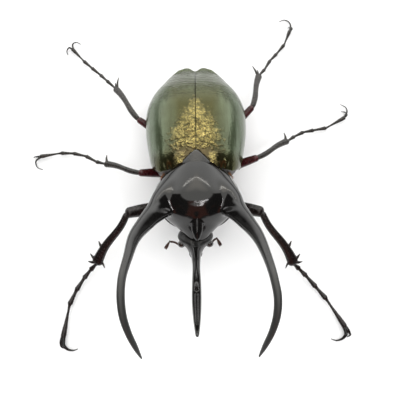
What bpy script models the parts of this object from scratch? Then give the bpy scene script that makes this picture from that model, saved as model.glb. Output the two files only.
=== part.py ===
"""A male Chalcosoma chiron, the caucasus beetle, as a still life-size model.

The beetle stands on its claws with its head towards -Y and its back up, so +X is its own left.
Sizes below are millimetres and each leg is posed by the places of its joints. The body's middle
plane is X = 0 while the pieces are made, and the last step sets the whole model on the floor with
the middle of its bounding box over the origin.
"""

import math

import bmesh
import bpy
import numpy as np
from mathutils import Vector

MM = 0.001
GAP = 0.3

# Body: stations along Y, front to rear, each with the size of the section there
EDGE_Y = 15.3
EDGE_BOW = 2.8
EDGE_HALF = 13.7
APEX_Y = 62.6
ELYTRA_WIDTH = ((12.8, 17.4), (17.5, 18.9), (24.0, 19.9), (34.5, 21.0), (45.0, 20.1), (51.0, 17.4),
                (56.0, 13.1), (59.3, 10.4), (61.3, 8.7), (APEX_Y, 6.6))
ELYTRA_TOP = ((12.8, 33.4), (24.0, 33.6), (34.5, 32.4), (45.0, 29.2), (53.0, 24.0), (58.5, 18.0),
              (61.0, 14.4), (APEX_Y, 13.2))
ELYTRA_MARGIN = ((12.8, 17.5), (24.0, 15.4), (40.0, 13.5), (APEX_Y, 12.4))
ELYTRA_POWER = 2.25
ELYTRON_THICK = 1.0
SHOULDER_Y = 13.2
SHOULDER_BACK = 3.0
SHOULDER_FROM = 0.92
# Each elytron ends in a lobe beside the suture: how far it reaches back, and its two breadths
LOBE_LONG = 1.15
LOBE_INNER = 3.6
LOBE_OUTER = 12.0
LOBE_FROM_Y = 52.0
BODY_INSET = 1.45
NECK_INSET = 3.6
NECK_LONG = 8.0
BODY_BOTTOM = ((12.8, 9.0), (22.0, 7.6), (40.0, 7.6), (54.0, 8.4), (58.5, 9.8), (APEX_Y, 12.0))
BELLY_POWER = 1.5
WAIST_Y = 33.0
PYGIDIUM_Y = 57.8
BODY_END_Y = 60.6
STERNITES = 5
STERNITE_STEP = 0.45

SCUTELLUM_HALF = 4.3
SCUTELLUM_LONG = 4.6
SCUTELLUM_RISE = 0.25

# Pronotum sections: Y at mid height, lean of the section, half width, top, side and bottom
NECK_LEAN = 0.73
PRONOTUM = ((-12.0, NECK_LEAN, 7.5, 24.2, 17.5, 11.2),
            (-9.6, 0.44, 8.4, 27.0, 18.0, 10.4),
            (-7.4, 0.20, 9.8, 30.6, 19.0, 9.8),
            (-5.0, 0.04, 11.9, 33.6, 19.6, 9.4),
            (-1.5, 0.0, 15.2, 35.7, 20.0, 9.0),
            (3.5, 0.0, 17.1, 36.7, 20.4, 8.8),
            (8.0, 0.0, 16.2, 36.2, 20.6, 8.8),
            (12.0, 0.0, 14.9, 34.9, 20.6, 9.2),
            (EDGE_Y, 0.0, 13.9, 33.6, 20.4, 9.6))
PRONOTUM_BOWS = (0.0, 0.0, 0.0, 0.0, 0.0, 0.0, 0.0, 0.5, 1.0)
PRONOTUM_POWER = 2.2
PRONOTUM_BELLY = 1.8
LEAN_AT = 20.0
MID_HEIGHT = 20.0

# Horns: places along the middle line with width and height of the section, root to tip
SIDE_HORN = ((7.0, 5.0, 27.0, 17.0, 14.0), (11.2, 0.8, 30.6, 12.6, 11.0),
             (14.7, -3.9, 33.6, 8.3, 8.2), (18.8, -10.4, 39.3, 5.7, 6.6),
             (21.7, -16.0, 44.3, 4.4, 5.6), (23.7, -24.0, 50.0, 3.2, 4.4),
             (25.4, -33.0, 54.0, 2.8, 3.6), (25.8, -38.6, 54.5, 2.8, 3.2),
             (25.4, -44.0, 53.0, 2.7, 2.9), (24.0, -49.2, 50.0, 2.4, 2.5),
             (21.7, -54.4, 45.2, 1.8, 1.9), (19.9, -58.1, 41.0, 0.5, 0.6))
# How far each place of both horns stands to the beetle's left of the even pair
SIDE_HORN_SWAY = (0.0, 0.0, -0.2, -0.4, -0.4, 0.0, 0.15, 0.5, 0.65, 0.7, 0.6, 0.5)
SIDE_HORN_CUT = 0.22
SIDE_HORN_POWER = 2.3
MIDDLE_HORN = ((0.0, -3.0, 27.6, 14.0, 11.0), (0.0, -8.0, 29.4, 7.6, 6.0),
               (0.0, -11.4, 29.6, 4.2, 3.8), (0.0, -14.9, 28.6, 1.1, 1.4))
MIDDLE_HORN_CUT = 0.66
SLOPE_NORMAL = (0.0, -0.75, 0.66)
HEAD_X = -0.8
HEAD_HORN = ((-0.8, -14.4, 17.4, 7.2, 7.2), (-0.8, -16.2, 19.0, 6.2, 6.6),
             (-0.7, -18.2, 20.7, 4.6, 5.6), (-0.6, -22.4, 23.6, 3.3, 4.6),
             (-0.5, -31.9, 31.0, 3.5, 4.2), (-0.5, -37.9, 37.2, 3.6, 3.9),
             (-0.4, -45.3, 46.4, 2.7, 2.9), (-0.3, -51.0, 55.0, 1.2, 1.3))
HEAD_HORN_CUT = 0.1
HEAD_HORN_POWER = 2.2
HEAD_TOOTH_AT = 0.5
HEAD_TOOTH_LONG = 3.2
HEAD_TOOTH_THICK = 2.4

# Head sections: Y at mid height, lean, half width, top, side and bottom
HEAD = ((-12.0, NECK_LEAN, 6.6, 22.4, 17.0, 11.6), (-13.8, 0.55, 7.0, 22.6, 16.6, 11.4),
        (-15.2, 0.3, 6.3, 22.4, 16.6, 11.6), (-16.6, 0.1, 4.7, 22.0, 17.0, 12.4),
        (-17.8, 0.0, 3.0, 21.4, 17.4, 13.6))
HEAD_POWER = 2.1
HEAD_BELLY = 2.0
EYE = (5.6, -13.9, 15.8)
EYE_RADIUS = 1.55

# Antennae: middle line of the stem and the tip of the club, from the head's middle
ANTENNA_LEFT = ((6.0, -14.2, 13.9), (7.6, -11.8, 12.8), (8.7, -11.2, 12.4))
CLUB_LEFT = (10.4, -14.4, 11.0)
ANTENNA_RIGHT = ((-6.0, -14.4, 13.9), (-8.6, -12.6, 12.9), (-10.6, -12.2, 12.4))
CLUB_RIGHT = (-12.6, -15.3, 11.0)
STEM_THICK = 0.75
CLUB_LEAVES = 3
CLUB_SPREAD = 16.0
LEAF_STEP = 0.13
PALP = ((2.6, -14.6, 12.2), (3.2, -17.0, 10.4), (3.0, -18.6, 10.6))
PALP_THICK = 0.8
PALP_TIP = 0.6
MANDIBLE = ((1.5, -15.4, 14.2), (1.9, -18.0, 13.6), (1.2, -19.4, 13.8))
MANDIBLE_THICK = 1.8
MANDIBLE_TIP = 0.7

# Legs: middle lines by joint. Coxa root and hip are given for the left and mirrored for the right.
COXAE = {"fore": ((5.2, 5.0, 12.0), (9.6, 4.3, 7.8)),
         "mid": ((4.6, 18.6, 11.5), (8.8, 18.4, 6.9)),
         "hind": ((4.2, 29.0, 11.5), (9.4, 31.4, 6.5))}
LEGS = {
    "fore_left": {"knee": (26.1, -1.6, 17.5), "ankle": (39.6, -21.4, 6.6),
                  "foot": ((41.8, -22.9, 4.2), (44.8, -25.7, 2.7), (48.8, -30.4, 2.0),
                           (52.8, -35.3, 1.7), (60.1, -47.3, 1.9)),
                  "claw": ((59.9, -50.0, 1.7), (58.4, -51.6, 1.1), (56.2, -52.2, 0.6),
                           (54.0, -51.5, 0.0)),
                  "claw_2": ((61.4, -48.9, 1.5), (62.0, -50.1, 0.8), (60.6, -50.9, 0.0))},
    "fore_right": {"knee": (-28.2, -1.2, 17.5), "ankle": (-41.9, -20.0, 6.6),
                   "foot": ((-44.0, -21.3, 4.2), (-46.3, -24.0, 2.7), (-49.6, -28.0, 2.0),
                            (-52.6, -32.4, 1.7), (-55.6, -49.9, 1.9)),
                   "claw": ((-55.0, -52.8, 1.6), (-53.4, -54.2, 1.0), (-51.4, -54.5, 0.5),
                            (-49.5, -53.9, 0.0)),
                   "claw_2": ((-56.4, -51.6, 1.4), (-56.3, -53.0, 0.7), (-55.0, -53.8, 0.0))},
    "mid_left": {"knee": (25.2, 21.6, 16.5), "ankle": (39.6, 32.1, 7.0),
                 "foot": ((42.8, 34.7, 5.0), (47.1, 37.2, 3.6), (52.0, 38.5, 2.4),
                          (57.7, 39.7, 1.8), (66.6, 44.6, 1.9)),
                 "claw": ((67.7, 47.6, 1.6), (67.4, 49.8, 0.8), (65.2, 51.6, 0.0)),
                 "claw_2": ((67.6, 46.2, 1.3), (66.8, 47.6, 0.6), (65.4, 48.1, 0.0))},
    "mid_right": {"knee": (-23.3, 15.9, 16.5), "ankle": (-39.2, 23.0, 7.0),
                  "foot": ((-43.3, 24.6, 5.0), (-48.2, 27.7, 3.6), (-54.0, 29.5, 2.4),
                           (-59.6, 29.9, 1.8), (-69.0, 28.4, 1.9)),
                  "claw": ((-70.6, 26.2, 1.6), (-69.9, 23.8, 0.7), (-67.6, 22.9, 0.0)),
                  "claw_2": ((-70.6, 28.6, 1.2), (-71.5, 28.8, 0.5), (-72.2, 28.4, 0.0))},
    "hind_left": {"knee": (24.3, 45.8, 12.2), "ankle": (28.5, 63.6, 6.0),
                  "foot": ((31.2, 67.0, 4.6), (34.1, 72.2, 3.0), (37.3, 75.9, 2.1),
                           (41.1, 80.7, 1.8), (44.2, 88.0, 1.9)),
                  "claw": ((44.6, 91.0, 1.6), (43.5, 93.3, 0.9), (41.7, 94.2, 0.4),
                           (39.6, 93.5, 0.0)),
                  "claw_2": ((45.3, 89.4, 1.3), (44.8, 90.3, 0.6), (43.4, 90.2, 0.0))},
    "hind_right": {"knee": (-24.5, 41.0, 12.2), "ankle": (-35.6, 58.4, 6.0),
                   "foot": ((-39.7, 62.8, 4.6), (-42.9, 66.4, 3.0), (-47.1, 70.4, 2.1),
                            (-50.9, 74.0, 1.8), (-56.6, 80.4, 1.9)),
                   "claw": ((-56.3, 83.0, 1.6), (-54.9, 84.2, 0.8), (-52.9, 83.4, 0.0)),
                   "claw_2": ((-58.2, 81.1, 1.4), (-59.2, 79.7, 0.7), (-58.7, 77.9, 0.0))},
}
# Widths and heights of a leg piece from its root to its end, then of the foot
FEMUR = {"fore": ((3.4, 3.6), (4.6, 4.8), (4.8, 4.6), (3.6, 3.6)),
         "mid": ((2.8, 3.0), (3.7, 3.9), (3.5, 3.6), (2.8, 2.9)),
         "hind": ((2.8, 3.0), (3.6, 3.8), (3.2, 3.4), (2.7, 2.8))}
TIBIA = {"fore": ((2.2, 2.4), (2.2, 2.2), (2.3, 2.2), (3.5, 2.4)),
         "mid": ((1.9, 2.1), (1.8, 1.9), (1.9, 2.0), (2.8, 2.4)),
         "hind": ((1.9, 2.1), (1.8, 1.9), (2.0, 2.0), (3.0, 2.4))}
FEMUR_BOW = 0.3
TIBIA_BOW = 0.8
JOINT_TAPER = 0.8
COXA_THICK = (4.6, 4.0)
FOOT_NECK = 0.75
FOOT_BEAD = 1.4
CLAW_BASE = 1.15
CLAW_THICK = 0.85
CLAW_TIP = 0.36
CLAW_FLAT = 0.12
# Side of each pair's tibia that bears the longer teeth: 1 is the outer side of a hind leg
TOOTHED_SIDE = {"fore": -1, "mid": -1, "hind": -1}
# Teeth of a tibia: place along it, reach to its toothed side, reach onwards, thickness at the root
TEETH = {"fore": ((0.69, 3.9, -0.7, 1.9), (0.91, 4.2, 0.2, 1.9), (0.94, 3.1, 2.6, 1.5),
                  (0.92, -3.9, 1.3, 1.2)),
         "mid": ((0.92, 3.6, 2.2, 1.3),),
         "hind": ((0.92, 3.7, 5.0, 1.3), (0.92, 1.2, 3.6, 1.0))}
TOOTH_TIP = 0.3

# Points round a section and sections along a piece
BODY_SIDES = 32
HEAD_SIDES = 24
HORN_SIDES = 12
HEAD_HORN_SIDES = 10
LEG_SIDES = 8
FOOT_SIDES = 6
SIDE_HORN_RINGS = 22
MIDDLE_HORN_RINGS = 5
HEAD_HORN_RINGS = 16
ELYTRON_ROWS = 22
ELYTRON_COLUMNS = 16
THORAX_RINGS = 8

COLOURS = {"shell": ((0.055, 0.062, 0.022), 0.22, 0.75), "black": ((0.006, 0.006, 0.006), 0.16, 0.0),
           "under": ((0.012, 0.010, 0.008), 0.35, 0.0), "leg": ((0.014, 0.009, 0.008), 0.3, 0.0),
           "thigh": ((0.035, 0.004, 0.005), 0.25, 0.0), "eye": ((0.020, 0.010, 0.006), 0.12, 0.0)}


def clear_scene():
    for old in list(bpy.data.objects):
        bpy.data.objects.remove(old, do_unlink=True)


def new_collection(name):
    made = bpy.data.collections.new(name)
    bpy.context.scene.collection.children.link(made)
    return made


def material_for(name, look):
    colour, roughness, metallic = COLOURS[look]
    made = bpy.data.materials.new(name)
    made.use_nodes = True
    shader = made.node_tree.nodes["Principled BSDF"]
    shader.inputs["Base Color"].default_value = (*colour, 1.0)
    shader.inputs["Roughness"].default_value = roughness
    shader.inputs["Metallic"].default_value = metallic
    return made


def at(stations, y):
    """A smooth value through (y, value) stations."""
    table = np.array(stations, float)
    slopes = np.gradient(table[:, 1], table[:, 0])
    i = int(np.clip(np.searchsorted(table[:, 0], y) - 1, 0, len(table) - 2))
    span = table[i + 1, 0] - table[i, 0]
    t = float(np.clip((y - table[i, 0]) / span, 0.0, 1.0))
    ends = table[i, 1] * (2 * t**3 - 3 * t**2 + 1) + table[i + 1, 1] * (3 * t**2 - 2 * t**3)
    return ends + span * (slopes[i] * (t**3 - 2 * t**2 + t) + slopes[i + 1] * (t**3 - t**2))


def curve_through(rows, count, start=0.0, end=1.0):
    """Rows read evenly, by length, from a smooth curve through the given rows of x, y, z, sizes."""
    rows = np.array(rows, float)
    along = np.concatenate([[0.0], np.cumsum(np.linalg.norm(np.diff(rows[:, :3], axis=0), axis=1))])
    columns = [tuple(zip(along, column)) for column in rows.T]
    where = np.linspace(start, end, count) * along[-1]
    return np.array([[at(column, place) for column in columns] for place in where])


def superellipse(count, power):
    """Unit section points, each axis to the power given: 2 is a circle and more is squarer."""
    turn = np.linspace(0.0, 2 * math.pi, count, endpoint=False)
    across = np.sign(np.cos(turn)) * np.abs(np.cos(turn)) ** (2 / power)
    up = np.sign(np.sin(turn)) * np.abs(np.sin(turn)) ** (2 / power)
    return np.column_stack([across, up])


def unit(vector):
    return vector / np.linalg.norm(vector)


def rings_along(rows, sides, power=2.0, lift=(0.0, 0.0, 1.0), grow=0.0):
    """Sections square to the path in rows of x, y, z, width, height. grow widens each all round."""
    rows = np.array(rows, float)
    tangents = np.gradient(rows[:, :3], axis=0)
    rings = []
    for row, tangent in zip(rows, tangents):
        tangent = unit(tangent)
        side = unit(np.cross(tangent, lift))
        up = np.cross(side, tangent)
        points = superellipse(sides, power) * (row[3:5] / 2 + grow)
        rings.append(row[:3] + points[:, :1] * side + points[:, 1:] * up)
    return rings


def slide_to_plane(ring, direction, point, normal):
    """The ring's points moved along direction onto the plane, for a mitred joint."""
    reach = (np.asarray(point) - ring) @ normal / (direction @ normal)
    return ring + reach[:, None] * direction


def loft(name, rings, tips=None):
    """A closed skin through rings of as many points each, capped by fans at both ends."""
    skin = bmesh.new()
    rows = [[skin.verts.new(Vector(point) * MM) for point in ring] for ring in rings]
    sides = len(rings[0])
    for low, high in zip(rows, rows[1:]):
        for i in range(sides):
            skin.faces.new((low[i], low[(i + 1) % sides], high[(i + 1) % sides], high[i]))
    tips = tips or (np.mean(rings[0], axis=0), np.mean(rings[-1], axis=0))
    for row, tip, turned in ((rows[0], tips[0], True), (rows[-1], tips[1], False)):
        middle = skin.verts.new(Vector(tip) * MM)
        for i in range(sides):
            pair = (row[i], row[(i + 1) % sides])
            skin.faces.new((*reversed(pair), middle) if turned else (*pair, middle))
    bmesh.ops.recalc_face_normals(skin, faces=skin.faces)
    return object_of(name, skin)


def object_of(name, skin):
    mesh = bpy.data.meshes.new(name)
    skin.to_mesh(mesh)
    skin.free()
    made = bpy.data.objects.new(name, mesh)
    bpy.context.scene.collection.objects.link(made)
    return made


def ball(name, centre, radius, sides=12):
    skin = bmesh.new()
    bmesh.ops.create_uvsphere(skin, u_segments=sides, v_segments=sides * 2 // 3, radius=radius * MM)
    bmesh.ops.translate(skin, verts=skin.verts, vec=Vector(centre) * MM)
    return object_of(name, skin)


def spike(name, root, tip, thick):
    """A cone from root to tip, made at the origin and then turned to its direction."""
    root = Vector(root) * MM
    reach = Vector(tip) * MM - root
    skin = bmesh.new()
    bmesh.ops.create_cone(skin, cap_ends=True, segments=FOOT_SIDES, radius1=thick / 2 * MM,
                          radius2=TOOTH_TIP / 2 * MM, depth=reach.length)
    bmesh.ops.translate(skin, verts=skin.verts, vec=(0, 0, reach.length / 2))
    bmesh.ops.transform(skin, matrix=reach.to_track_quat("Z", "X").to_matrix().to_4x4(),
                        verts=skin.verts)
    bmesh.ops.translate(skin, verts=skin.verts, vec=root)
    return object_of(name, skin)


def combine(target, others, operation):
    """Joins the others to the target, or cuts them from it, and removes them."""
    group = bpy.data.collections.new("pieces")
    for other in others:
        group.objects.link(other)
    step = target.modifiers.new(operation.title(), "BOOLEAN")
    step.operation = operation
    step.operand_type = "COLLECTION"
    step.collection = group
    apply_modifiers(target)
    for other in others:
        bpy.data.objects.remove(other, do_unlink=True)
    bpy.data.collections.remove(group)
    keep_largest(target)
    return target


def apply_modifiers(target):
    graph = bpy.context.evaluated_depsgraph_get()
    mesh = bpy.data.meshes.new_from_object(target.evaluated_get(graph))
    target.modifiers.clear()
    old = target.data
    target.data = mesh
    bpy.data.meshes.remove(old)


def keep_largest(target):
    """Removes every closed surface of the mesh but the one with the largest volume."""
    skin = bmesh.new()
    skin.from_mesh(target.data)
    left = set(skin.faces)
    islands = []
    while left:
        island = {left.pop()}
        edge_of = list(island)
        while edge_of:
            face = edge_of.pop()
            for edge in face.edges:
                for other in edge.link_faces:
                    if other in left:
                        left.remove(other)
                        island.add(other)
                        edge_of.append(other)
        islands.append(island)
    islands.sort(key=lambda island: -volume_of(island))
    for island in islands[1:]:
        bmesh.ops.delete(skin, geom=list(island), context="FACES")
    skin.to_mesh(target.data)
    skin.free()


def volume_of(faces):
    total = 0.0
    for face in faces:
        first = face.verts[0].co
        for a, b in zip(face.verts[1:], face.verts[2:]):
            total += first.dot(a.co.cross(b.co)) / 6
    return total


def carve(bodies, cutters):
    """Cuts the same shapes from each of the bodies."""
    for body in bodies:
        copies = [bpy.data.objects.new("copy", cutter.data.copy()) for cutter in cutters]
        combine(body, copies, "DIFFERENCE")
    for cutter in cutters:
        bpy.data.objects.remove(cutter, do_unlink=True)


def finish(made, parts, look):
    """Names the material, shades the piece smooth and puts it in the beetle's collection."""
    made.data.materials.clear()
    made.data.materials.append(material_for(made.name, look))
    made.data.shade_smooth()
    made.data.set_sharp_from_angle(angle=math.radians(40))
    for old in list(made.users_collection):
        old.objects.unlink(made)
    parts.objects.link(made)
    return made


def rear_edge(x):
    """Y of the seam between the pronotum and what is behind it."""
    return EDGE_Y - EDGE_BOW * (x / EDGE_HALF) ** 2


def body_ring(y, half, top, side, bottom, count, upper, lower, lean=0.0, bow=0.0):
    """A section of the body: a dome over its widest height and a belly under it."""
    ring = []
    for turn in np.linspace(0.0, 2 * math.pi, count, endpoint=False):
        power = upper if math.sin(turn) >= 0 else lower
        reach = top - side if math.sin(turn) >= 0 else side - bottom
        x = half * math.copysign(abs(math.cos(turn)) ** (2 / power), math.cos(turn))
        z = side + reach * math.copysign(abs(math.sin(turn)) ** (2 / power), math.sin(turn))
        ring.append((x, y + bow * (rear_edge(x) - EDGE_Y) - lean * (z - LEAN_AT), z))
    return np.array(ring)


def inner_ring(y, bow=0.0, step=0.0):
    """A section of the body inside the elytra, which lie on it with the seam's gap between."""
    shift = BODY_INSET * float(np.clip((y - 46.0) / 12.0, 0.0, 1.0))
    outer = min(y + shift, APEX_Y)
    neck = max(0.0, 1.0 - (y - EDGE_Y) / NECK_LONG) ** 2
    half = at(ELYTRA_WIDTH, outer) - BODY_INSET - NECK_INSET * neck
    top = at(ELYTRA_TOP, outer) - BODY_INSET
    side = min(at(ELYTRA_MARGIN, y), top - 0.6)
    bottom = min(at(BODY_BOTTOM, y), side - 0.6) + step
    return body_ring(y, half, top, side, bottom, BODY_SIDES, ELYTRA_POWER, BELLY_POWER, bow=bow)


def make_hind_thorax():
    ys = np.linspace(EDGE_Y + GAP / 2, WAIST_Y - GAP / 2, THORAX_RINGS)
    bows = np.linspace(1.0, 0.0, THORAX_RINGS) ** 2
    rings = [inner_ring(y, bow) for y, bow in zip(ys, bows)]
    ends = tuple(np.array([0.0, y, MID_HEIGHT]) for y in (ys[0], ys[-1]))
    return loft("hind_thorax", rings, ends)


def make_abdomen():
    """Each plate of the belly ends in a small step up to the next."""
    edges = np.linspace(WAIST_Y + GAP / 2, PYGIDIUM_Y - GAP / 2, STERNITES + 1)
    rings = []
    for start, end in zip(edges, edges[1:]):
        rings.append(inner_ring(start + 0.15, step=STERNITE_STEP))
        rings.append(inner_ring(end - 0.15))
    rings[0] = inner_ring(edges[0], step=STERNITE_STEP)
    rings[-1] = inner_ring(edges[-1])
    return loft("abdomen", rings)


def make_pygidium():
    ys = (PYGIDIUM_Y + GAP / 2, (PYGIDIUM_Y + BODY_END_Y) / 2 + 0.4, BODY_END_Y)
    return loft("pygidium", [inner_ring(y) for y in ys])


def elytra_front(share, x):
    """Y of an elytron's front edge, from the seam at the middle to the rounded shoulder."""
    beyond = max(0.0, (share - SHOULDER_FROM) / (1 - SHOULDER_FROM))
    return max(rear_edge(x) + GAP / 2, SHOULDER_Y + SHOULDER_BACK * beyond**2)


def rear_lobe(x, y):
    """How far back the lobe at an elytron's rear end carries a point."""
    run = max(0.0, (y - LOBE_FROM_Y) / (APEX_Y - LOBE_FROM_Y)) ** 2
    return LOBE_LONG * run * (1 - math.exp(-(x / LOBE_INNER) ** 2)) * math.exp(-(x / LOBE_OUTER) ** 2)


def make_elytron(name, side):
    """Half the dome as an open sheet, given its thickness by Solidify."""
    skin = bmesh.new()
    bmesh.ops.create_grid(skin, x_segments=ELYTRON_COLUMNS, y_segments=ELYTRON_ROWS, size=0.5)
    for vert in skin.verts:
        turn = (vert.co.x + 0.5) * math.pi / 2
        share = math.sin(turn) ** (2 / ELYTRA_POWER)
        run = math.sin((vert.co.y + 0.5) * math.pi / 2) ** 1.15
        front = elytra_front(share, share * ELYTRA_WIDTH[0][1])
        y = front + (APEX_Y - front) * run
        half, top, margin = at(ELYTRA_WIDTH, y), at(ELYTRA_TOP, y), at(ELYTRA_MARGIN, y)
        x = GAP / 2 + (half - GAP / 2) * share
        z = margin + (top - margin) * math.cos(turn) ** (2 / ELYTRA_POWER)
        vert.co = Vector((side * x, y + rear_lobe(x, y), z)) * MM
    bmesh.ops.recalc_face_normals(skin, faces=skin.faces)
    if sum(face.normal.z for face in skin.faces) < 0:
        bmesh.ops.reverse_faces(skin, faces=skin.faces)
    made = object_of(name, skin)
    shell = made.modifiers.new("Thickness", "SOLIDIFY")
    shell.thickness = ELYTRON_THICK * MM
    shell.offset = -1.0
    apply_modifiers(made)
    return combine(made, [scutellum_solid("notch", GAP, 4.0)], "DIFFERENCE")


def scutellum_solid(name, grow, deep):
    """The small plate between the elytra, or with grow and deep the notch that it sits in."""
    rings = []
    for share in (0.0, 0.35, 0.7, 0.93):
        y = EDGE_Y + GAP / 2 + share * SCUTELLUM_LONG + (grow if share else -2 * grow)
        half = SCUTELLUM_HALF * (1 - share) ** 0.85 + 0.35 + grow
        top = at(ELYTRA_TOP, y) + SCUTELLUM_RISE + (deep if grow else 0.0)
        low = at(ELYTRA_TOP, y) - ELYTRON_THICK - (deep if grow else 0.0)
        fall = 0.06 * half
        xs = np.array([1.0, 0.5, -0.5, -1.0, -1.0, -0.5, 0.5, 1.0]) * half
        zs = [top - fall, top, top, top - fall, low - fall, low, low, low - fall]
        bow = [0.0 if share else rear_edge(x) - EDGE_Y for x in xs]
        rings.append(np.column_stack([xs, y + np.array(bow), zs]))
    return loft(name, rings)


def horn_pieces(name, rows, cut, sides, count, power, slope=None):
    """A horn from its cut to its tip, and the root that its bearer keeps below the cut.

    slope is the normal of the cut, where that isn't square to the horn.
    """
    rows = np.array(rows, float)
    length = np.linalg.norm(np.diff(rows[:, :3], axis=0), axis=1).sum()
    half_gap = GAP / 2 / length
    root = curve_through(rows, 6, 0.0, cut - half_gap)
    blade = curve_through(rows, count, cut + half_gap, 1.0)
    lift = unit(np.cross(rows[-1, :3] - rows[0, :3], (1.0, 0.0, 0.0)))
    lift = (0.0, 0.0, 1.0) if lift[2] < 0.2 else lift
    low, high = rings_along(root, sides, power, lift), rings_along(blade, sides, power, lift)
    if slope is not None:
        along = unit(blade[0, :3] - root[-1, :3])
        low[-1] = slide_to_plane(low[-1], along, root[-1, :3], np.array(slope))
        high[0] = slide_to_plane(high[0], along, blade[0, :3], np.array(slope))
    return loft(name + "_root", low), loft(name, high)


def make_pronotum_and_horns():
    rings = []
    for (y, lean, half, top, side, bottom), bow in zip(PRONOTUM, PRONOTUM_BOWS):
        gap = GAP / 2 if y == EDGE_Y else 0.0
        rings.append(body_ring(y - gap, half, top, side, bottom, BODY_SIDES, PRONOTUM_POWER,
                               PRONOTUM_BELLY, lean=lean, bow=bow))
    neck_y, neck_lean, _, _, neck_z, _ = PRONOTUM[0]
    front = np.array([0.0, neck_y - neck_lean * (neck_z - LEAN_AT), neck_z])
    rear = np.array([0.0, EDGE_Y - GAP / 2, MID_HEIGHT])
    pronotum = loft("pronotum", rings, (front, rear))
    horns = []
    roots = []
    for name, side in (("pronotal_horn_left", 1), ("pronotal_horn_right", -1)):
        rows = np.array(SIDE_HORN) * (side, 1, 1, 1, 1)
        rows[:, 0] += SIDE_HORN_SWAY
        root, horn = horn_pieces(name, rows, SIDE_HORN_CUT, HORN_SIDES, SIDE_HORN_RINGS,
                                 SIDE_HORN_POWER)
        roots.append(root)
        horns.append(horn)
    root, horn = horn_pieces("pronotal_horn_middle", MIDDLE_HORN, MIDDLE_HORN_CUT, HORN_SIDES,
                             MIDDLE_HORN_RINGS, 2.0, SLOPE_NORMAL)
    combine(pronotum, [*roots, root], "UNION")
    return pronotum, [*horns, horn]


def make_head_and_horn():
    rings = []
    for i, (y, lean, half, top, side, bottom) in enumerate(HEAD):
        shift = GAP if i == 0 else 0.0
        ring = body_ring(y - shift, half, top, side, bottom, HEAD_SIDES, HEAD_POWER, HEAD_BELLY,
                         lean=lean)
        rings.append(ring + (HEAD_X, 0.0, 0.0))
    head = loft("head", rings)
    root, horn = horn_pieces("head_horn", HEAD_HORN, HEAD_HORN_CUT, HEAD_HORN_SIDES,
                             HEAD_HORN_RINGS, HEAD_HORN_POWER)
    combine(head, [root], "UNION")
    place, after = curve_through(HEAD_HORN, 2, HEAD_TOOTH_AT, HEAD_TOOTH_AT + 0.02)
    onward = unit(after[:3] - place[:3])
    back = unit(np.cross(onward, (1.0, 0.0, 0.0)))
    back = back if back[2] > 0 else -back
    reach = place[4] / 2 + HEAD_TOOTH_LONG * 0.6
    tooth = spike("tooth", place[:3], place[:3] + back * reach - onward * 0.2, HEAD_TOOTH_THICK)
    combine(horn, [tooth], "UNION")
    return head, horn


def tube(name, points, thick, grow=0.0, tip=None):
    """A round piece of even thickness, or tapering to tip, through the points."""
    rows = [(*point, thick, thick) for point in points]
    if tip is not None:
        rows[-1] = (*points[-1], tip, tip)
    return loft(name, rings_along(curve_through(rows, 7), FOOT_SIDES, grow=grow))


def make_antenna(name, stem, club):
    """A stem and a club of three flat leaves, spread like a fan from the stem's end."""
    made = tube(name, stem, STEM_THICK)
    start = np.array(stem[-1])
    reach = np.array(club) - start
    leaves = []
    for i in range(CLUB_LEAVES):
        turn = math.radians(CLUB_SPREAD * (i - (CLUB_LEAVES - 1) / 2))
        turned = np.array([reach[0] * math.cos(turn) - reach[1] * math.sin(turn),
                           reach[0] * math.sin(turn) + reach[1] * math.cos(turn), reach[2]])
        first = start - 0.1 * turned + (0.0, 0.0, LEAF_STEP * i)
        rows = [(*first, 0.5, 0.7), (*(first + 0.4 * turned), 0.8, 1.3),
                (*(first + 0.8 * turned), 0.8, 1.5), (*(first + turned), 0.5, 0.7)]
        leaves.append(loft("leaf", rings_along(curve_through(rows, 6), FOOT_SIDES)))
    return combine(made, leaves, "UNION")


def leg_piece(name, points, sizes, bow, joints, count=7, grow=0.0):
    """A leg piece between two joints, each end drawn in and mitred to its joint's plane."""
    start, end = (np.array(point, float) for point in points)
    shares = np.linspace(0.0, 1.0, len(sizes))
    swell = [np.array([0.0, 0.0, bow * math.sin(math.pi * share)]) for share in shares]
    rows = [(*(start + (end - start) * share + lift), *size)
            for share, lift, size in zip(shares, swell, sizes)]
    rings = rings_along(curve_through(rows, count), LEG_SIDES, 2.2, grow=grow)
    direction = unit(end - start)
    for index, plane in zip((0, -1), joints):
        if plane is not None:
            ring = slide_to_plane(rings[index], direction, *plane)
            middle = ring.mean(axis=0)
            rings[index] = middle + (ring - middle) * JOINT_TAPER
    return loft(name, rings)


def joint_plane(before, joint, after, side):
    """The plane that halves a bend, moved half the gap to one side of it."""
    before, joint, after = (np.array(point, float) for point in (before, joint, after))
    normal = unit(unit(joint - before) + unit(after - joint))
    return joint + side * GAP / 2 * normal, normal


def make_tibia(name, kind, knee, ankle, joints, toothed):
    """The shin with its teeth, which lie level. toothed turns their side over."""
    made = leg_piece(name, (knee, ankle), TIBIA[kind], TIBIA_BOW, joints, count=8)
    knee, ankle = np.array(knee), np.array(ankle)
    along = unit((ankle - knee) * (1, 1, 0))
    side = np.cross(along, (0.0, 0.0, 1.0)) * toothed
    teeth = []
    for share, out, onward, thick in TEETH[kind]:
        root = knee + (ankle - knee) * share
        root = root + (0.0, 0.0, TIBIA_BOW * math.sin(math.pi * share))
        teeth.append(spike("tooth", root, root + side * out + along * onward, thick))
    return combine(made, teeth, "UNION")


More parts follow.
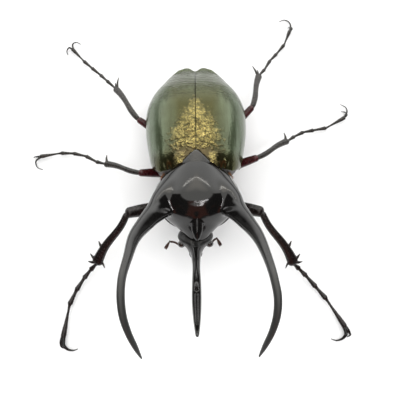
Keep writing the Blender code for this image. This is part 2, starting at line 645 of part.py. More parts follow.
def make_tarsus(name, ankle, foot, claws, plane):
    """Five beads on a chain and two claws, cut off flat where they rest on the floor."""
    points = [np.array(ankle), *map(np.array, foot)]
    rows = []
    for start, end in zip(points[:-1], points[1:-1]):
        for share, thick in ((0.04, FOOT_NECK), (0.75, FOOT_BEAD * 0.9), (0.92, FOOT_BEAD)):
            rows.append((*(start + (end - start) * share), thick, thick))
    for share, thick in ((0.04, FOOT_NECK), (0.55, FOOT_NECK), (0.9, CLAW_BASE), (1.0, FOOT_NECK)):
        rows.append((*(points[-2] + (points[-1] - points[-2]) * share), thick, thick))
    rings = rings_along(rows, FOOT_SIDES)
    rings[0] = slide_to_plane(rings[0], unit(points[1] - points[0]), *plane)
    made = loft(name, rings)
    hooks = []
    for claw in claws:
        start = points[-1] + 0.12 * (points[-2] - points[-1])
        path = [start, *map(np.array, claw)]
        thick = np.linspace(CLAW_THICK, CLAW_TIP, len(path))
        path[-1] = path[-1] + (0.0, 0.0, CLAW_TIP / 2 - CLAW_FLAT)
        hook_rows = [(*point, size, size) for point, size in zip(path, thick)]
        hooks.append(loft("claw", rings_along(curve_through(hook_rows, 7), FOOT_SIDES)))
    combine(made, hooks, "UNION")
    return flatten_at_floor(made)


def flatten_at_floor(made):
    """Cuts the piece at the floor, so that it rests on small flats."""
    floor = bmesh.new()
    bmesh.ops.create_cube(floor, size=0.4)
    bmesh.ops.translate(floor, verts=floor.verts, vec=(0, 0, -0.2))
    return combine(made, [object_of("floor", floor)], "DIFFERENCE")


def make_leg(leg):
    """The four pieces of a leg, and what its coxa and femur need cut from the body."""
    kind, side_name = leg.split("_")
    side = 1 if side_name == "left" else -1
    mirror = np.array([side, 1, 1])
    root, hip = (np.array(point) * mirror for point in COXAE[kind])
    pose = LEGS[leg]
    knee, ankle, foot = pose["knee"], pose["ankle"], pose["foot"]
    hip_in, hip_out = (joint_plane(root, hip, knee, s) for s in (-1, 1))
    knee_in, knee_out = (joint_plane(hip, knee, ankle, s) for s in (-1, 1))
    ankle_in, ankle_out = (joint_plane(knee, ankle, foot[0], s) for s in (-1, 1))
    coxa_sizes = [(size, size) for size in COXA_THICK]
    coxa = leg_piece(f"{kind}_coxa_{side_name}", (root, hip), coxa_sizes, 0.0, (None, hip_in), count=4)
    femur = leg_piece(f"{kind}_femur_{side_name}", (hip, knee), FEMUR[kind], FEMUR_BOW,
                      (hip_out, knee_in))
    tibia = make_tibia(f"{kind}_tibia_{side_name}", kind, knee, ankle, (knee_out, ankle_in),
                       side * TOOTHED_SIDE[kind])
    tarsus = make_tarsus(f"{kind}_tarsus_{side_name}", ankle, foot,
                         (pose["claw"], pose["claw_2"]), ankle_out)
    cuts = [leg_piece("socket", (root, hip), coxa_sizes, 0.0, (None, None), count=4, grow=GAP),
            leg_piece("groove", (hip, knee), FEMUR[kind], FEMUR_BOW, (None, None), grow=GAP)]
    return (coxa, femur, tibia, tarsus), cuts


def make_face(head):
    """Eyes, antennae, palps and jaws, each in a socket cut from the head."""
    middle = np.array([HEAD_X, 0.0, 0.0])
    looks = {"black": [], "leg": [], "eye": []}
    sockets = []
    for name, side, stem, club in (("left", 1, ANTENNA_LEFT, CLUB_LEFT),
                                   ("right", -1, ANTENNA_RIGHT, CLUB_RIGHT)):
        eye, palp, jaw = (np.array(points) * (side, 1, 1) + middle for points in (EYE, PALP, MANDIBLE))
        stem, club = np.array(stem) + middle, np.array(club) + middle
        looks["eye"].append(ball("eye_" + name, eye, EYE_RADIUS))
        looks["leg"].append(make_antenna("antenna_" + name, stem, club))
        looks["leg"].append(tube("palp_" + name, palp, PALP_THICK, tip=PALP_TIP))
        looks["black"].append(tube("mandible_" + name, jaw, MANDIBLE_THICK, tip=MANDIBLE_TIP))
        sockets += [ball("socket", eye, EYE_RADIUS + GAP)]
        sockets += [tube("socket", points, thick, grow=GAP) for points, thick in
                    ((stem, STEM_THICK), (palp, PALP_THICK), (jaw, MANDIBLE_THICK))]
    combine(head, sockets, "DIFFERENCE")
    return looks


def main():
    clear_scene()
    parts = new_collection("caucasus_beetle")
    pronotum, horns = make_pronotum_and_horns()
    head, head_horn = make_head_and_horn()
    thorax = make_hind_thorax()
    abdomen = make_abdomen()
    looks = {"black": [pronotum, *horns, head, head_horn, scutellum_solid("scutellum", 0.0, 0.0)],
             "under": [thorax, abdomen, make_pygidium()],
             "shell": [make_elytron("elytron_left", 1), make_elytron("elytron_right", -1)],
             "eye": [], "leg": [], "thigh": []}
    for leg in LEGS:
        (coxa, femur, tibia, tarsus), cuts = make_leg(leg)
        carve({"f": [pronotum], "m": [thorax], "h": [thorax, abdomen]}[leg[0]], cuts)
        looks["thigh"] += [coxa, femur]
        looks["leg"] += [tibia, tarsus]
    for look, pieces in make_face(head).items():
        looks[look] += pieces
    for look, pieces in looks.items():
        for piece in pieces:
            finish(piece, parts, look)
    stand(parts)


def stand(parts):
    """Sets the model on the floor, with the middle of its bounding box over the origin."""
    corners = np.array([piece.matrix_world @ Vector(corner)
                        for piece in parts.objects for corner in piece.bound_box])
    low, high = corners.min(axis=0), corners.max(axis=0)
    base = bpy.data.objects.new("base", None)
    parts.objects.link(base)
    base.location = (-(low[0] + high[0]) / 2, -(low[1] + high[1]) / 2, -low[2])
    for piece in parts.objects:
        if piece is not base:
            piece.parent = base


main()
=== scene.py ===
"""The looks of a life-size male caucasus beetle: its shells, horns, head, legs and a plain studio.

Shapes are worked out in millimetres in the beetle's own frame: X = 0 is the body's middle plane, +X
its own left, -Y its head end and Z = 0 the floor. mesh_object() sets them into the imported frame.
"""

import math

import bmesh
import bpy
import numpy as np
from mathutils import Matrix, Vector


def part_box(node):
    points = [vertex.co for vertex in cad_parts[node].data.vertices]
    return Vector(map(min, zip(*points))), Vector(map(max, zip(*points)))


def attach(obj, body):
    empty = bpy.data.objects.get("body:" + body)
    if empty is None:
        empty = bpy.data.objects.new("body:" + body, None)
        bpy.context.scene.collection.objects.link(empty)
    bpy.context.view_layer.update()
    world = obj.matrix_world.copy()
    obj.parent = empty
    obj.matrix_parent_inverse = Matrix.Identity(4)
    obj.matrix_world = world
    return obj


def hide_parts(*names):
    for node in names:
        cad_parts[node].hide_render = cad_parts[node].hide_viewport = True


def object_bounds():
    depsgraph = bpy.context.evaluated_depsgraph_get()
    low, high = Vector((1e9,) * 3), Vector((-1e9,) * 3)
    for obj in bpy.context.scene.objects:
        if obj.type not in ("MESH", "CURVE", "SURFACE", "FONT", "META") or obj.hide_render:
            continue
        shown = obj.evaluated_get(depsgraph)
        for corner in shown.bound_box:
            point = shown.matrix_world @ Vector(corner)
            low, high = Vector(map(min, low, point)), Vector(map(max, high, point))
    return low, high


bl_info = {
    "name": "Caucasus Beetle",
    "version": (1, 0, 0),
    "blender": (4, 5, 0),
    "location": "View3D > Sidebar > Beetle",
    "description": "Builds the shells, horns, legs and stage of a life-size caucasus beetle",
    "category": "Object",
}

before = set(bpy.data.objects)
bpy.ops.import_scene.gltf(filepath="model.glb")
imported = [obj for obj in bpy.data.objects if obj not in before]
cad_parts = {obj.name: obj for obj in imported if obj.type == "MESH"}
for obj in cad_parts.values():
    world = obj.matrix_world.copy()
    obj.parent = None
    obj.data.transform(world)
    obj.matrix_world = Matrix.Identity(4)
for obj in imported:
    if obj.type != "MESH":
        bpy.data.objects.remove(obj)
CAD_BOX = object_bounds()
MM = 0.001
SIDES = {"left": 1, "right": -1}

# Skins: how much of a relaxing move goes back in the next round, and how deep a cut piece's end goes in
KEEP_SIZE = 1.03
CAP_DEPTH = 0.5

# Body behind the shield: stations along Y, front to rear, each with the size there
EDGE_Y = 15.3
EDGE_BOW = 2.8
EDGE_HALF = 13.7
APEX_Y = 62.6
ELYTRA_WIDTH = ((12.8, 17.2), (17.5, 18.4), (24.0, 19.7), (34.5, 21.0), (45.0, 20.1), (51.0, 17.4),
                (56.0, 13.7), (59.3, 11.3), (61.3, 9.3), (APEX_Y, 7.4))
ELYTRA_TOP = ((12.8, 33.4), (24.0, 33.6), (34.5, 32.4), (45.0, 29.2), (53.0, 24.0), (58.5, 18.0),
              (61.0, 14.4), (APEX_Y, 13.2))
ELYTRA_MARGIN = ((12.8, 17.5), (24.0, 15.4), (40.0, 13.5), (APEX_Y, 12.4))
ELYTRA_POWER = 2.25
ELYTRON_THICK = 0.8
ELYTRON_THINNING = 0.85
THINS_FROM_Y = 57.5
THINS_LONG = 4.5
SEAM_HALF = 0.03
SHOULDER_Y = 13.2
SHOULDER_BACK = 3.2
SHOULDER_FROM = 0.84
LOBE_LONG = 2.3
LOBE_INNER = 2.5
LOBE_OUTER = 6.8
LOBE_FROM_Y = 52.0
BODY_INSET = 1.2
INSET_FROM_Y = 46.0
INSET_LONG = 12.0
BODY_LEAST = 0.6
NECK_INSET = 3.6
NECK_LONG = 8.0
BODY_BOTTOM = ((12.8, 9.0), (22.0, 7.6), (40.0, 7.6), (54.0, 8.4), (58.5, 9.8), (APEX_Y, 12.0))
BELLY_POWER = 1.5
WAIST_Y = 33.0
PYGIDIUM_Y = 57.8
BODY_END_Y = 61.0
STERNITES = 5
STERNITE_STEP = 0.55
STERNITE_FURROW = 0.25
STERNITE_FURROW_WIDE = 0.06
KEEL_BELOW_Z = 14.0
KEEL_DEEP = 0.5
KEEL_WIDE = 2.2
KEEL_FURROW = 0.35
KEEL_FURROW_WIDE = 0.5
SCUTELLUM_HALF = 5.2
SCUTELLUM_LONG = 4.7
SCUTELLUM_POWER = 1.15
SCUTELLUM_ROUND = 0.3
SCUTELLUM_SUNK = 0.44
SCUTELLUM_THICK = 0.7
SCUTELLUM_DOME = 0.022

# Relief of an elytron: where each form lies, how far it reaches and how deep or high it is.
# A furrow is given by its place, reach and depth, and a knob by X, Y, stretch along Y and reach.
SUTURE_FURROWS = ((1.0, 0.5, 0.08), (0.0, 0.1, 0.1))
ROLL_X = (6.5, 10.5)
ROLL_SPREAD = 3.0
ROLL_LONG = 2.3
ROLL_DEEP = 2.4
ROLL_EASE = 0.35
ROLL_SHOULDER = 0.6
ROLL_SHOULDER_EASE = 0.85
LIP_LONG = 0.35
LIP_DEEP = 0.2
FRONT_RIDGE = (11.9, 1.2)
FRONT_RIDGE_REACH = (0.9, 2.4)
FRONT_RIDGE_HIGH = 0.7
MARGIN_FURROW = (1.0, 0.45, 0.34)
ELYTRON_KNOBS = ((13.6, 19.0, 1.0, 2.6), (11.0, 51.5, 0.7, 2.4))
KNOB_HIGH = 0.35

# Pronotum sections: Y at mid height, lean of the section, half width, top, side and bottom
NECK_LEAN = 0.73
PRONOTUM = ((-12.8, NECK_LEAN, 4.6, 21.6, 17.5, 11.2),
            (-9.6, 0.44, 7.4, 25.0, 18.0, 10.4),
            (-7.6, 0.20, 9.3, 28.2, 19.0, 9.8),
            (-5.0, 0.04, 11.9, 33.4, 19.6, 9.4),
            (-1.5, 0.0, 15.2, 35.7, 20.0, 9.0),
            (3.5, 0.0, 17.1, 36.7, 20.4, 8.8),
            (8.0, 0.0, 16.2, 36.2, 20.6, 8.8),
            (12.0, 0.0, 14.9, 34.9, 20.6, 9.2),
            (EDGE_Y, 0.0, 13.9, 33.6, 20.4, 9.6))
PRONOTUM_POWER = 2.2
PRONOTUM_BELLY = 1.8
LEAN_AT = 20.0

# Forms on the shield: a flatter disc, a forward sweep of the upper side beside the middle, a backward
# sweep of the front's sides, hollows beside the side horns' roots, and a bead and groove on the margin
DISC_FLAT = 0.6
DISC_FLAT_Y = 0.0
DISC_FLAT_LONG = 6.0
SWEEP = 0.62
SWEEP_MOST = 4.4
SWEEP_Y = 7.0
SWEEP_LONG = 4.5
FRONT_SWEEP = 1.0
FRONT_SWEEP_X = 7.5
FRONT_SWEEP_MOST = 1.3
FRONT_SWEEP_FROM_Y = -5.0
FRONT_SWEEP_LONG = 6.0
HOLLOW_X = 10.6
HOLLOW_WIDE = 3.2
HOLLOW_Y = (-6.0, 3.5)
HOLLOW_Z = 24.0
HOLLOW_DEEP = 1.0
MARGIN_BEAD = 0.3
MARGIN_GROOVE = 0.32
MARGIN_FROM_Y = -9.0
BOW_FROM_Y = 8.0

# Horns: places along the middle line with width and height of the section, root to tip. A cut is the
# share of the way at which a horn becomes a piece of its own, and a blend how wide its root's fillet is.
SIDE_HORN = ((7.0, 5.0, 27.0, 17.0, 14.0), (11.2, 0.8, 30.6, 12.6, 11.0),
             (14.7, -3.9, 33.6, 8.3, 8.2), (18.8, -10.4, 39.3, 5.7, 6.6),
             (21.7, -16.0, 44.3, 4.4, 5.6), (23.7, -24.0, 50.0, 3.2, 4.4),
             (25.4, -33.0, 54.0, 2.8, 3.6), (25.8, -38.6, 54.5, 2.8, 3.2),
             (25.4, -44.0, 53.0, 2.7, 2.9), (24.0, -49.2, 50.0, 2.4, 2.5),
             (21.7, -54.4, 45.2, 1.8, 1.9), (19.9, -58.1, 41.0, 0.5, 0.6))
SIDE_HORN_SWAY = (0.0, 0.0, -0.2, -0.4, -0.4, 0.0, 0.15, 0.5, 0.65, 0.7, 0.6, 0.5)
SIDE_HORN_CUT = 0.22
SIDE_BLEND = 3.4
SLANT_EDGE = 0.3
SLANT_DEEP = 0.72
SLANT_EASE = 0.58
MIDDLE_HORN = ((0.0, -3.0, 27.6, 8.4, 10.6), (0.0, -8.0, 29.0, 5.4, 5.8),
               (0.0, -11.4, 29.4, 4.2, 3.8), (0.0, -14.9, 28.5, 1.7, 1.6))
MIDDLE_HORN_CUT = 0.66
MIDDLE_BLEND = 1.8
MIDDLE_HORN_POWER = 1.35
HEAD_MIDDLE = np.array((-0.8, 0.0, 0.0))
HEAD_HORN = ((-0.8, -14.4, 17.4, 7.2, 7.2), (-0.8, -16.2, 19.0, 6.2, 6.6),
             (-0.7, -18.2, 20.7, 4.6, 5.6), (-0.6, -22.4, 23.6, 3.3, 4.6),
             (-0.5, -31.9, 31.0, 3.5, 4.2), (-0.5, -37.9, 37.2, 3.6, 3.9),
             (-0.4, -45.3, 46.4, 2.7, 2.9), (-0.3, -51.0, 55.0, 1.2, 1.3))
HEAD_HORN_CUT = 0.1
HEAD_LIFT = (0.0, 0.717, 0.698)
HEAD_FURROW_FROM = 0.42
HEAD_TOOTH_AT = 0.5
HEAD_TOOTH_LONG = 3.2

# Head: sections as the pronotum's, then the middle lines of the small parts on the left
HEAD = ((-9.0, NECK_LEAN, 4.0, 20.6, 17.0, 11.6), (-13.0, 0.5, 7.0, 22.0, 16.8, 11.4),
        (-14.2, 0.3, 6.0, 22.4, 16.8, 11.6), (-15.2, 0.15, 4.4, 22.0, 17.0, 12.0),
        (-16.4, 0.05, 3.2, 21.2, 17.0, 12.8), (-17.6, 0.0, 2.4, 19.6, 17.0, 13.8))
EYE = np.array((5.6, -13.9, 15.8))
EYE_RADIUS = 1.55
CANTHUS = ((3.6, -14.4, 18.0), (5.0, -15.0, 17.2), (6.0, -15.1, 16.2))
LIP = ((-2.2, -17.6, 14.6), (0.0, -18.4, 14.9), (2.2, -17.6, 14.6))
ANTENNAE = {"left": (((6.0, -14.2, 13.9), (7.6, -11.8, 12.8), (8.7, -11.2, 12.4)), (10.4, -14.4, 11.0)),
            "right": (((-6.0, -14.4, 13.9), (-8.6, -12.6, 12.9), (-10.6, -12.2, 12.4)),
                      (-12.6, -15.3, 11.0))}
STEM_THICK = 0.95
CLUB_SPREAD = 8.0
CLUB_LEAF = ((0.0, 0.4, 0.6), (0.4, 0.7, 1.3), (0.8, 0.7, 1.5), (1.02, 0.2, 0.4))
PALP = ((2.4, -13.4, 12.2), (2.7, -15.2, 10.6), (2.2, -16.4, 10.4))
MANDIBLE = ((1.5, -15.4, 14.2), (1.9, -18.0, 13.6), (1.2, -19.4, 13.8))

# Legs: middle lines by joint, then thicknesses along each piece, width and height
COXAE = {"fore": ((5.2, 5.0, 12.0), (9.6, 4.3, 7.8)),
         "mid": ((4.6, 18.6, 11.5), (8.8, 18.4, 6.9)),
         "hind": ((4.2, 29.0, 11.5), (9.4, 31.4, 6.5))}
LEGS = {
    "fore_left": {"knee": (26.1, -1.6, 17.5), "ankle": (39.6, -21.4, 6.6),
                  "foot": ((41.8, -22.9, 4.2), (44.8, -25.7, 2.7), (48.8, -30.4, 2.0),
                           (52.8, -35.3, 1.7), (60.1, -47.3, 1.9)),
                  "claw": ((59.9, -50.0, 1.7), (58.4, -51.6, 1.1), (56.2, -52.2, 0.6),
                           (54.0, -51.5, 0.0)),
                  "claw_2": ((61.4, -48.9, 1.5), (62.0, -50.1, 0.8), (60.6, -50.9, 0.0))},
    "fore_right": {"knee": (-28.2, -1.2, 17.5), "ankle": (-41.9, -20.0, 6.6),
                   "foot": ((-44.6, -22.0, 4.0), (-47.5, -25.3, 2.7), (-50.7, -30.2, 2.0),
                            (-53.4, -36.0, 1.7), (-55.6, -49.9, 1.9)),
                   "claw": ((-55.0, -52.8, 1.6), (-53.4, -54.2, 1.0), (-51.4, -54.5, 0.5),
                            (-49.5, -53.9, 0.0)),
                   "claw_2": ((-56.4, -51.6, 1.4), (-56.3, -53.0, 0.7), (-55.0, -53.8, 0.0))},
    "mid_left": {"knee": (25.2, 21.6, 16.5), "ankle": (39.6, 32.1, 7.0),
                 "foot": ((42.8, 34.7, 5.0), (47.1, 37.2, 3.6), (52.0, 38.5, 2.4),
                          (57.7, 39.7, 1.8), (66.6, 44.6, 1.9)),
                 "claw": ((67.7, 47.6, 1.6), (67.4, 49.8, 0.8), (65.2, 51.6, 0.0)),
                 "claw_2": ((67.6, 46.2, 1.3), (66.8, 47.6, 0.6), (65.4, 48.1, 0.0))},
    "mid_right": {"knee": (-23.3, 15.9, 16.5), "ankle": (-39.2, 23.0, 7.0),
                  "foot": ((-43.3, 24.6, 5.0), (-48.2, 27.7, 3.6), (-54.0, 29.5, 2.4),
                           (-59.6, 29.9, 1.8), (-69.0, 28.4, 1.9)),
                  "claw": ((-70.6, 26.2, 1.6), (-69.9, 23.8, 0.7), (-67.6, 22.9, 0.0)),
                  "claw_2": ((-70.6, 28.6, 1.2), (-71.5, 28.8, 0.5), (-72.2, 28.4, 0.0))},
    "hind_left": {"knee": (24.3, 45.8, 12.2), "ankle": (28.5, 63.6, 6.0),
                  "foot": ((31.2, 67.0, 4.6), (34.1, 72.2, 3.0), (37.3, 75.9, 2.1),
                           (41.1, 80.7, 1.8), (44.2, 88.0, 1.9)),
                  "claw": ((44.6, 91.0, 1.6), (43.5, 93.3, 0.9), (41.7, 94.2, 0.4),
                           (39.6, 93.5, 0.0)),
                  "claw_2": ((45.3, 89.4, 1.3), (44.8, 90.3, 0.6), (43.4, 90.2, 0.0))},
    "hind_right": {"knee": (-24.5, 41.0, 12.2), "ankle": (-35.6, 58.4, 6.0),
                   "foot": ((-39.7, 62.8, 4.6), (-42.9, 66.4, 3.0), (-47.1, 70.4, 2.1),
                            (-50.9, 74.0, 1.8), (-56.6, 80.4, 1.9)),
                   "claw": ((-56.3, 83.0, 1.6), (-54.9, 84.2, 0.8), (-52.9, 83.4, 0.0)),
                   "claw_2": ((-58.2, 81.1, 1.4), (-59.2, 79.7, 0.7), (-58.7, 77.9, 0.0))},
}
FEMUR = {"fore": ((3.4, 3.6), (4.6, 4.8), (5.0, 4.6), (4.3, 3.8)),
         "mid": ((2.8, 3.0), (3.7, 3.9), (3.5, 3.6), (2.8, 2.9)),
         "hind": ((2.8, 3.0), (3.6, 3.8), (3.2, 3.4), (2.7, 2.8))}
TIBIA = {"fore": ((2.7, 2.8), (3.0, 2.8), (3.3, 2.8), (3.8, 2.8), (5.0, 2.8)),
         "mid": ((2.1, 2.1), (2.3, 2.2), (2.2, 2.1), (2.6, 2.3), (3.0, 2.5)),
         "hind": ((2.2, 2.1), (2.5, 2.2), (2.3, 2.2), (2.6, 2.3), (3.2, 2.5))}
FLUTES = 0.08
FEMUR_BOW = 0.3
TIBIA_BOW = 0.8
TIBIA_SWAY = {"fore": 0.8, "mid": 0.4, "hind": 0.4}
COXA_THICK = (4.6, 4.0)
FOOT_THICK = {"fore": 2.3, "mid": 1.8, "hind": 1.7}
FOOT_JOINT = ((0.0, 0.72), (0.08, 0.63), (0.45, 0.68), (0.82, 0.9), (0.93, 0.96), (1.0, 0.72))
LAST_FOOT_JOINT = ((0.0, 0.62), (0.08, 0.5), (0.5, 0.64), (0.86, 0.95), (0.95, 0.9), (1.0, 0.45))
CLAW_THICK = {"fore": 1.8, "mid": 1.0, "hind": 0.95}
CLAW_TIP = 0.2
# Teeth of the shins: share of the way to the foot, reach to the side and onward, thickness
TEETH = {"fore": ((0.69, 4.1, -0.7, 2.6), (0.91, 4.4, 0.2, 2.5), (0.94, 3.3, 2.6, 2.1),
                  (0.92, -4.1, 1.3, 1.7)),
         "mid": ((0.92, 3.7, 2.2, 1.5),),
         "hind": ((0.92, 3.8, 5.0, 1.5), (0.92, 1.2, 3.6, 1.2))}
TOOTH_TIP = 0.3

# Stage: the floor in metres, and what the camera looks at and the lamps are turned to in millimetres
FLOOR_HALF = 0.9
FLOOR_GAP = 0.00002
LOOK_AT = (1.25, 0.0, 32.5)
DISC_MIDDLE = (0.0, 4.0, 34.0)


def node_middle(node):
    """The middle of a node's box, in metres."""
    low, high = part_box(node)
    return (np.array(low) + np.array(high)) / 2


BASE = ((node_middle("eye_left") + node_middle("eye_right")) / 2
        - (EYE * (0, 1, 1) + HEAD_MIDDLE) * MM)


# Properties


def colour_property(name, description, default):
    """A colour that a user may change."""
    return bpy.props.FloatVectorProperty(name=name, description=description, subtype="COLOR",
                                         default=default, min=0.0, max=1.0)


class BeetleColours(bpy.types.PropertyGroup):
    bronze: colour_property("Wing cover", "Olive bronze of the wing covers", (0.052, 0.050, 0.019))
    # The golden colour below is a painted glint: the lamp behind, as mirrored in the crinkles beside the
    # suture
    painted_glint: colour_property("Gold", "Warm gold of the wing covers beside the suture", (0.56, 0.46, 0.165))
    black: colour_property("Black shell", "Black of the pronotum, horns and head", (0.0028, 0.0026, 0.0024))
    leg: colour_property("Leg", "Black brown of the shins and feet", (0.009, 0.0072, 0.0058))
    fore_leg: colour_property("Fore leg", "Near black of the fore legs", (0.0045, 0.0026, 0.0024))
    thigh: colour_property("Thigh", "Dark red brown of the thighs", (0.022, 0.0028, 0.0036))
    hair: colour_property("Hair", "Rust orange of the bristles", (0.34, 0.13, 0.035))


class BeetleStudio(bpy.types.PropertyGroup):
    camera_height: bpy.props.FloatProperty(
        name="Camera height", description="Height of the camera over the floor", unit="LENGTH",
        default=0.2547, min=0.05)
    camera_lead: bpy.props.FloatProperty(
        name="Camera lead", description="How far the camera stands in front of the body's middle",
        unit="LENGTH", default=0.0554)
    lens: bpy.props.FloatProperty(
        name="Lens", description="Focal length of the camera", unit="CAMERA", default=54.36, min=1.0)
    roll: bpy.props.FloatProperty(
        name="Roll", description="Turn of the camera about its view", unit="ROTATION",
        default=math.radians(-0.9))
    tubes: bpy.props.FloatProperty(
        name="Tubes", description="Strength of the two long lamps", subtype="POWER", default=0.5, min=0.0)
    ceiling: bpy.props.FloatProperty(
        name="Ceiling", description="Brightness of the room", default=1.2, min=0.0)


# Shape tools


def at(stations, where):
    """Values at places along smooth curves through (place, value, ...) stations.

    Each piece between two stations is the cubic with the stations' values and average slopes.
    """
    table = np.array(stations, float)
    places, values = table[:, 0], table[:, 1:]
    slopes = np.gradient(values, places, axis=0)
    where = np.asarray(where, float)
    i = np.clip(np.searchsorted(places, where) - 1, 0, len(places) - 2)
    span = (places[i + 1] - places[i])[..., None]
    t = np.clip((where - places[i])[..., None] / span, 0.0, 1.0)
    found = (values[i] * (2 * t**3 - 3 * t**2 + 1) + values[i + 1] * (3 * t**2 - 2 * t**3)
             + span * (slopes[i] * (t**3 - 2 * t**2 + t) + slopes[i + 1] * (t**3 - t**2)))
    return found[..., 0] if found.shape[-1] == 1 else found


def curve_through(rows, count, start=0.0, end=1.0):
    """Rows read evenly, by length, from a smooth curve through the given rows of x, y, z, sizes."""
    rows = np.array(rows, float)
    along = np.concatenate([[0.0], np.cumsum(np.linalg.norm(np.diff(rows[:, :3], axis=0), axis=1))])
    return at(np.column_stack([along, rows]), np.linspace(start, end, count) * along[-1])


def unit(vectors):
    """The vectors at length 1."""
    return vectors / np.linalg.norm(vectors, axis=-1, keepdims=True)


def smooth_step(values):
    """v v (3 - 2 v), with v held between 0 and 1."""
    values = np.clip(values, 0.0, 1.0)
    return values * values * (3 - 2 * values)


def bump(values, width):
    """A bell, e^-(v / width)^2: 1 at zero, falling off over the width."""
    return np.exp(-(values / width) ** 2)


def superellipse(turn, power):
    """Unit section points: |x|^power + |y|^power = 1, at the angles given."""
    return np.stack([np.sign(np.cos(turn)) * np.abs(np.cos(turn)) ** (2 / power),
                     np.sign(np.sin(turn)) * np.abs(np.sin(turn)) ** (2 / power)], axis=-1)


def full_turn(sides):
    """Evenly spaced angles round a section."""
    return np.linspace(0, 2 * math.pi, sides, endpoint=False)


def circle(sides):
    """A round section of radius 1."""
    return superellipse(full_turn(sides), 2)


def upright(way):
    """Which way is up for sections along the way: Z, or Y where the way itself is steep."""
    return (0.0, 0.0, 1.0) if abs(unit(way)[2]) < 0.9 else (0.0, 1.0, 0.0)


def rings_along(rows, section, lift=(0.0, 0.0, 1.0)):
    """The section, scaled to each row's width and height, carried square to the path of the rows.

    A row is x, y, z, width, height. The section is (sides, 2), or (rows, sides, 2).
    """
    rows = np.array(rows, float)
    tangents = unit(np.gradient(rows[:, :3], axis=0))
    side = unit(np.cross(tangents, lift))
    up = np.cross(side, tangents)
    points = section * rows[:, None, 3:5] / 2
    return rows[:, None, :3] + points[..., :1] * side[:, None] + points[..., 1:] * up[:, None]


def body_rings(y, half, top, side, bottom, turn, upper, lower, lean=0.0, bow=0.0):
    """Sections of the body: a dome over the widest height and a belly under it.

    All but turn are given by section. x = half cos^(2/p), z = side + reach sin^(2/p), and Y leans
    with the height and bows with the rear edge of the pronotum.
    """
    columns = [np.asarray(value, float)[..., None] for value in (y, half, top, side, bottom, lean, bow)]
    y, half, top, side, bottom, lean, bow = columns
    over = np.sin(turn) >= 0
    power = np.where(over, upper, lower)
    x = half * np.sign(np.cos(turn)) * np.abs(np.cos(turn)) ** (2 / power)
    reach = np.where(over, top - side, side - bottom)
    z = side + reach * np.sign(np.sin(turn)) * np.abs(np.sin(turn)) ** (2 / power)
    y = y + bow * (rear_edge(x) - EDGE_Y) - lean * (z - LEAN_AT)
    return stacked(x, y, z)


def stacked(*coordinates):
    """Points from their coordinates, each of which may be one value for a whole ring."""
    return np.stack(np.broadcast_arrays(*coordinates), axis=-1)


def rear_edge(x):
    """Y of the seam between the pronotum and what is behind it."""
    return EDGE_Y - EDGE_BOW * (x / EDGE_HALF) ** 2


def closed_shell(rings):
    """Points and faces of a skin through the rings, closed by a fan at each end."""
    count, sides = rings.shape[:2]
    index = np.arange(count * sides).reshape(count, sides)
    after = np.roll(index, -1, axis=1)
    quads = np.stack([index[:-1], after[:-1], after[1:], index[1:]], axis=-1).reshape(-1, 4)
    low = np.stack([after[0], index[0], np.full(sides, count * sides)], axis=-1)
    high = np.stack([index[-1], after[-1], np.full(sides, count * sides + 1)], axis=-1)
    points = np.concatenate([rings.reshape(-1, 3), (rings[0].mean(axis=0), rings[-1].mean(axis=0))])
    return points, quads.tolist() + low.tolist() + high.tolist()


def joined(shells):
    """One list of points and faces for several shells."""
    points, faces, start = [], [], 0
    for shell_points, shell_faces in shells:
        points.append(shell_points)
        faces += [[corner + start for corner in face] for face in shell_faces]
        start += len(shell_points)
    return np.concatenate(points), faces


def mesh_object(name, points, faces, outward=True):
    """A smooth object at the origin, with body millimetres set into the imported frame."""
    mesh = bpy.data.meshes.new(name)
    mesh.from_pydata((points * MM + BASE).tolist(), [], faces)
    if outward:
        skin = bmesh.new()
        skin.from_mesh(mesh)
        bmesh.ops.recalc_face_normals(skin, faces=skin.faces)
        skin.to_mesh(mesh)
        skin.free()
    mesh.shade_smooth()
    made = bpy.data.objects.new(name, mesh)
    bpy.context.scene.collection.objects.link(made)
    return made


def apply_modifiers(target):
    """Gives the object the mesh that its modifiers make."""
    graph = bpy.context.evaluated_depsgraph_get()
    mesh = bpy.data.meshes.new_from_object(target.evaluated_get(graph))
    target.modifiers.clear()
    old = target.data
    target.data = mesh
    bpy.data.meshes.remove(old)


def voxel_union(shells, voxel):
    """Points, quads and edges of one even skin round overlapping closed shells."""
    whole = mesh_object("union", *joined(shells))
    step = whole.modifiers.new("Union", "REMESH")
    step.mode = "VOXEL"
    step.voxel_size = voxel * MM
    apply_modifiers(whole)
    mesh = whole.data
    points = np.empty(len(mesh.vertices) * 3, np.float32)
    mesh.vertices.foreach_get("co", points)
    quads = np.empty(len(mesh.loops), np.int32)
    mesh.loops.foreach_get("vertex_index", quads)
    edges = np.empty(len(mesh.edges) * 2, np.int32)
    mesh.edges.foreach_get("vertices", edges)
    bpy.data.objects.remove(whole, do_unlink=True)
    points = (points.reshape(-1, 3).astype(float) - BASE) / MM
    return points, quads.reshape(-1, 4), edges.reshape(-1, 2)


def relax(points, edges, weights, rounds, keep=0.0):
    """Moves each point towards the middle of its neighbours by its weight, round after round.

    keep puts most of each move back in the next round, which evens ripples and holds the size.
    """
    a, b = edges.T
    count = len(points)
    near = np.bincount(a, minlength=count) + np.bincount(b, minlength=count)
    for turn in range(rounds):
        total = stacked(*(np.bincount(a, points[b, axis], count) + np.bincount(b, points[a, axis], count)
                          for axis in range(3)))
        step = weights if turn % 2 == 0 or keep == 0.0 else -keep * weights
        points = points + step[:, None] * (total / near[:, None] - points)
    return points


def nearest_on(path, points):
    """For each point the index of the nearest row of the path, and the distance to it."""
    squares = (points**2).sum(axis=1)[:, None] + (path**2).sum(axis=1) - 2 * points @ path.T
    nearest = squares.argmin(axis=1)
    return nearest, np.sqrt(np.maximum(squares[np.arange(len(points)), nearest], 0.0))


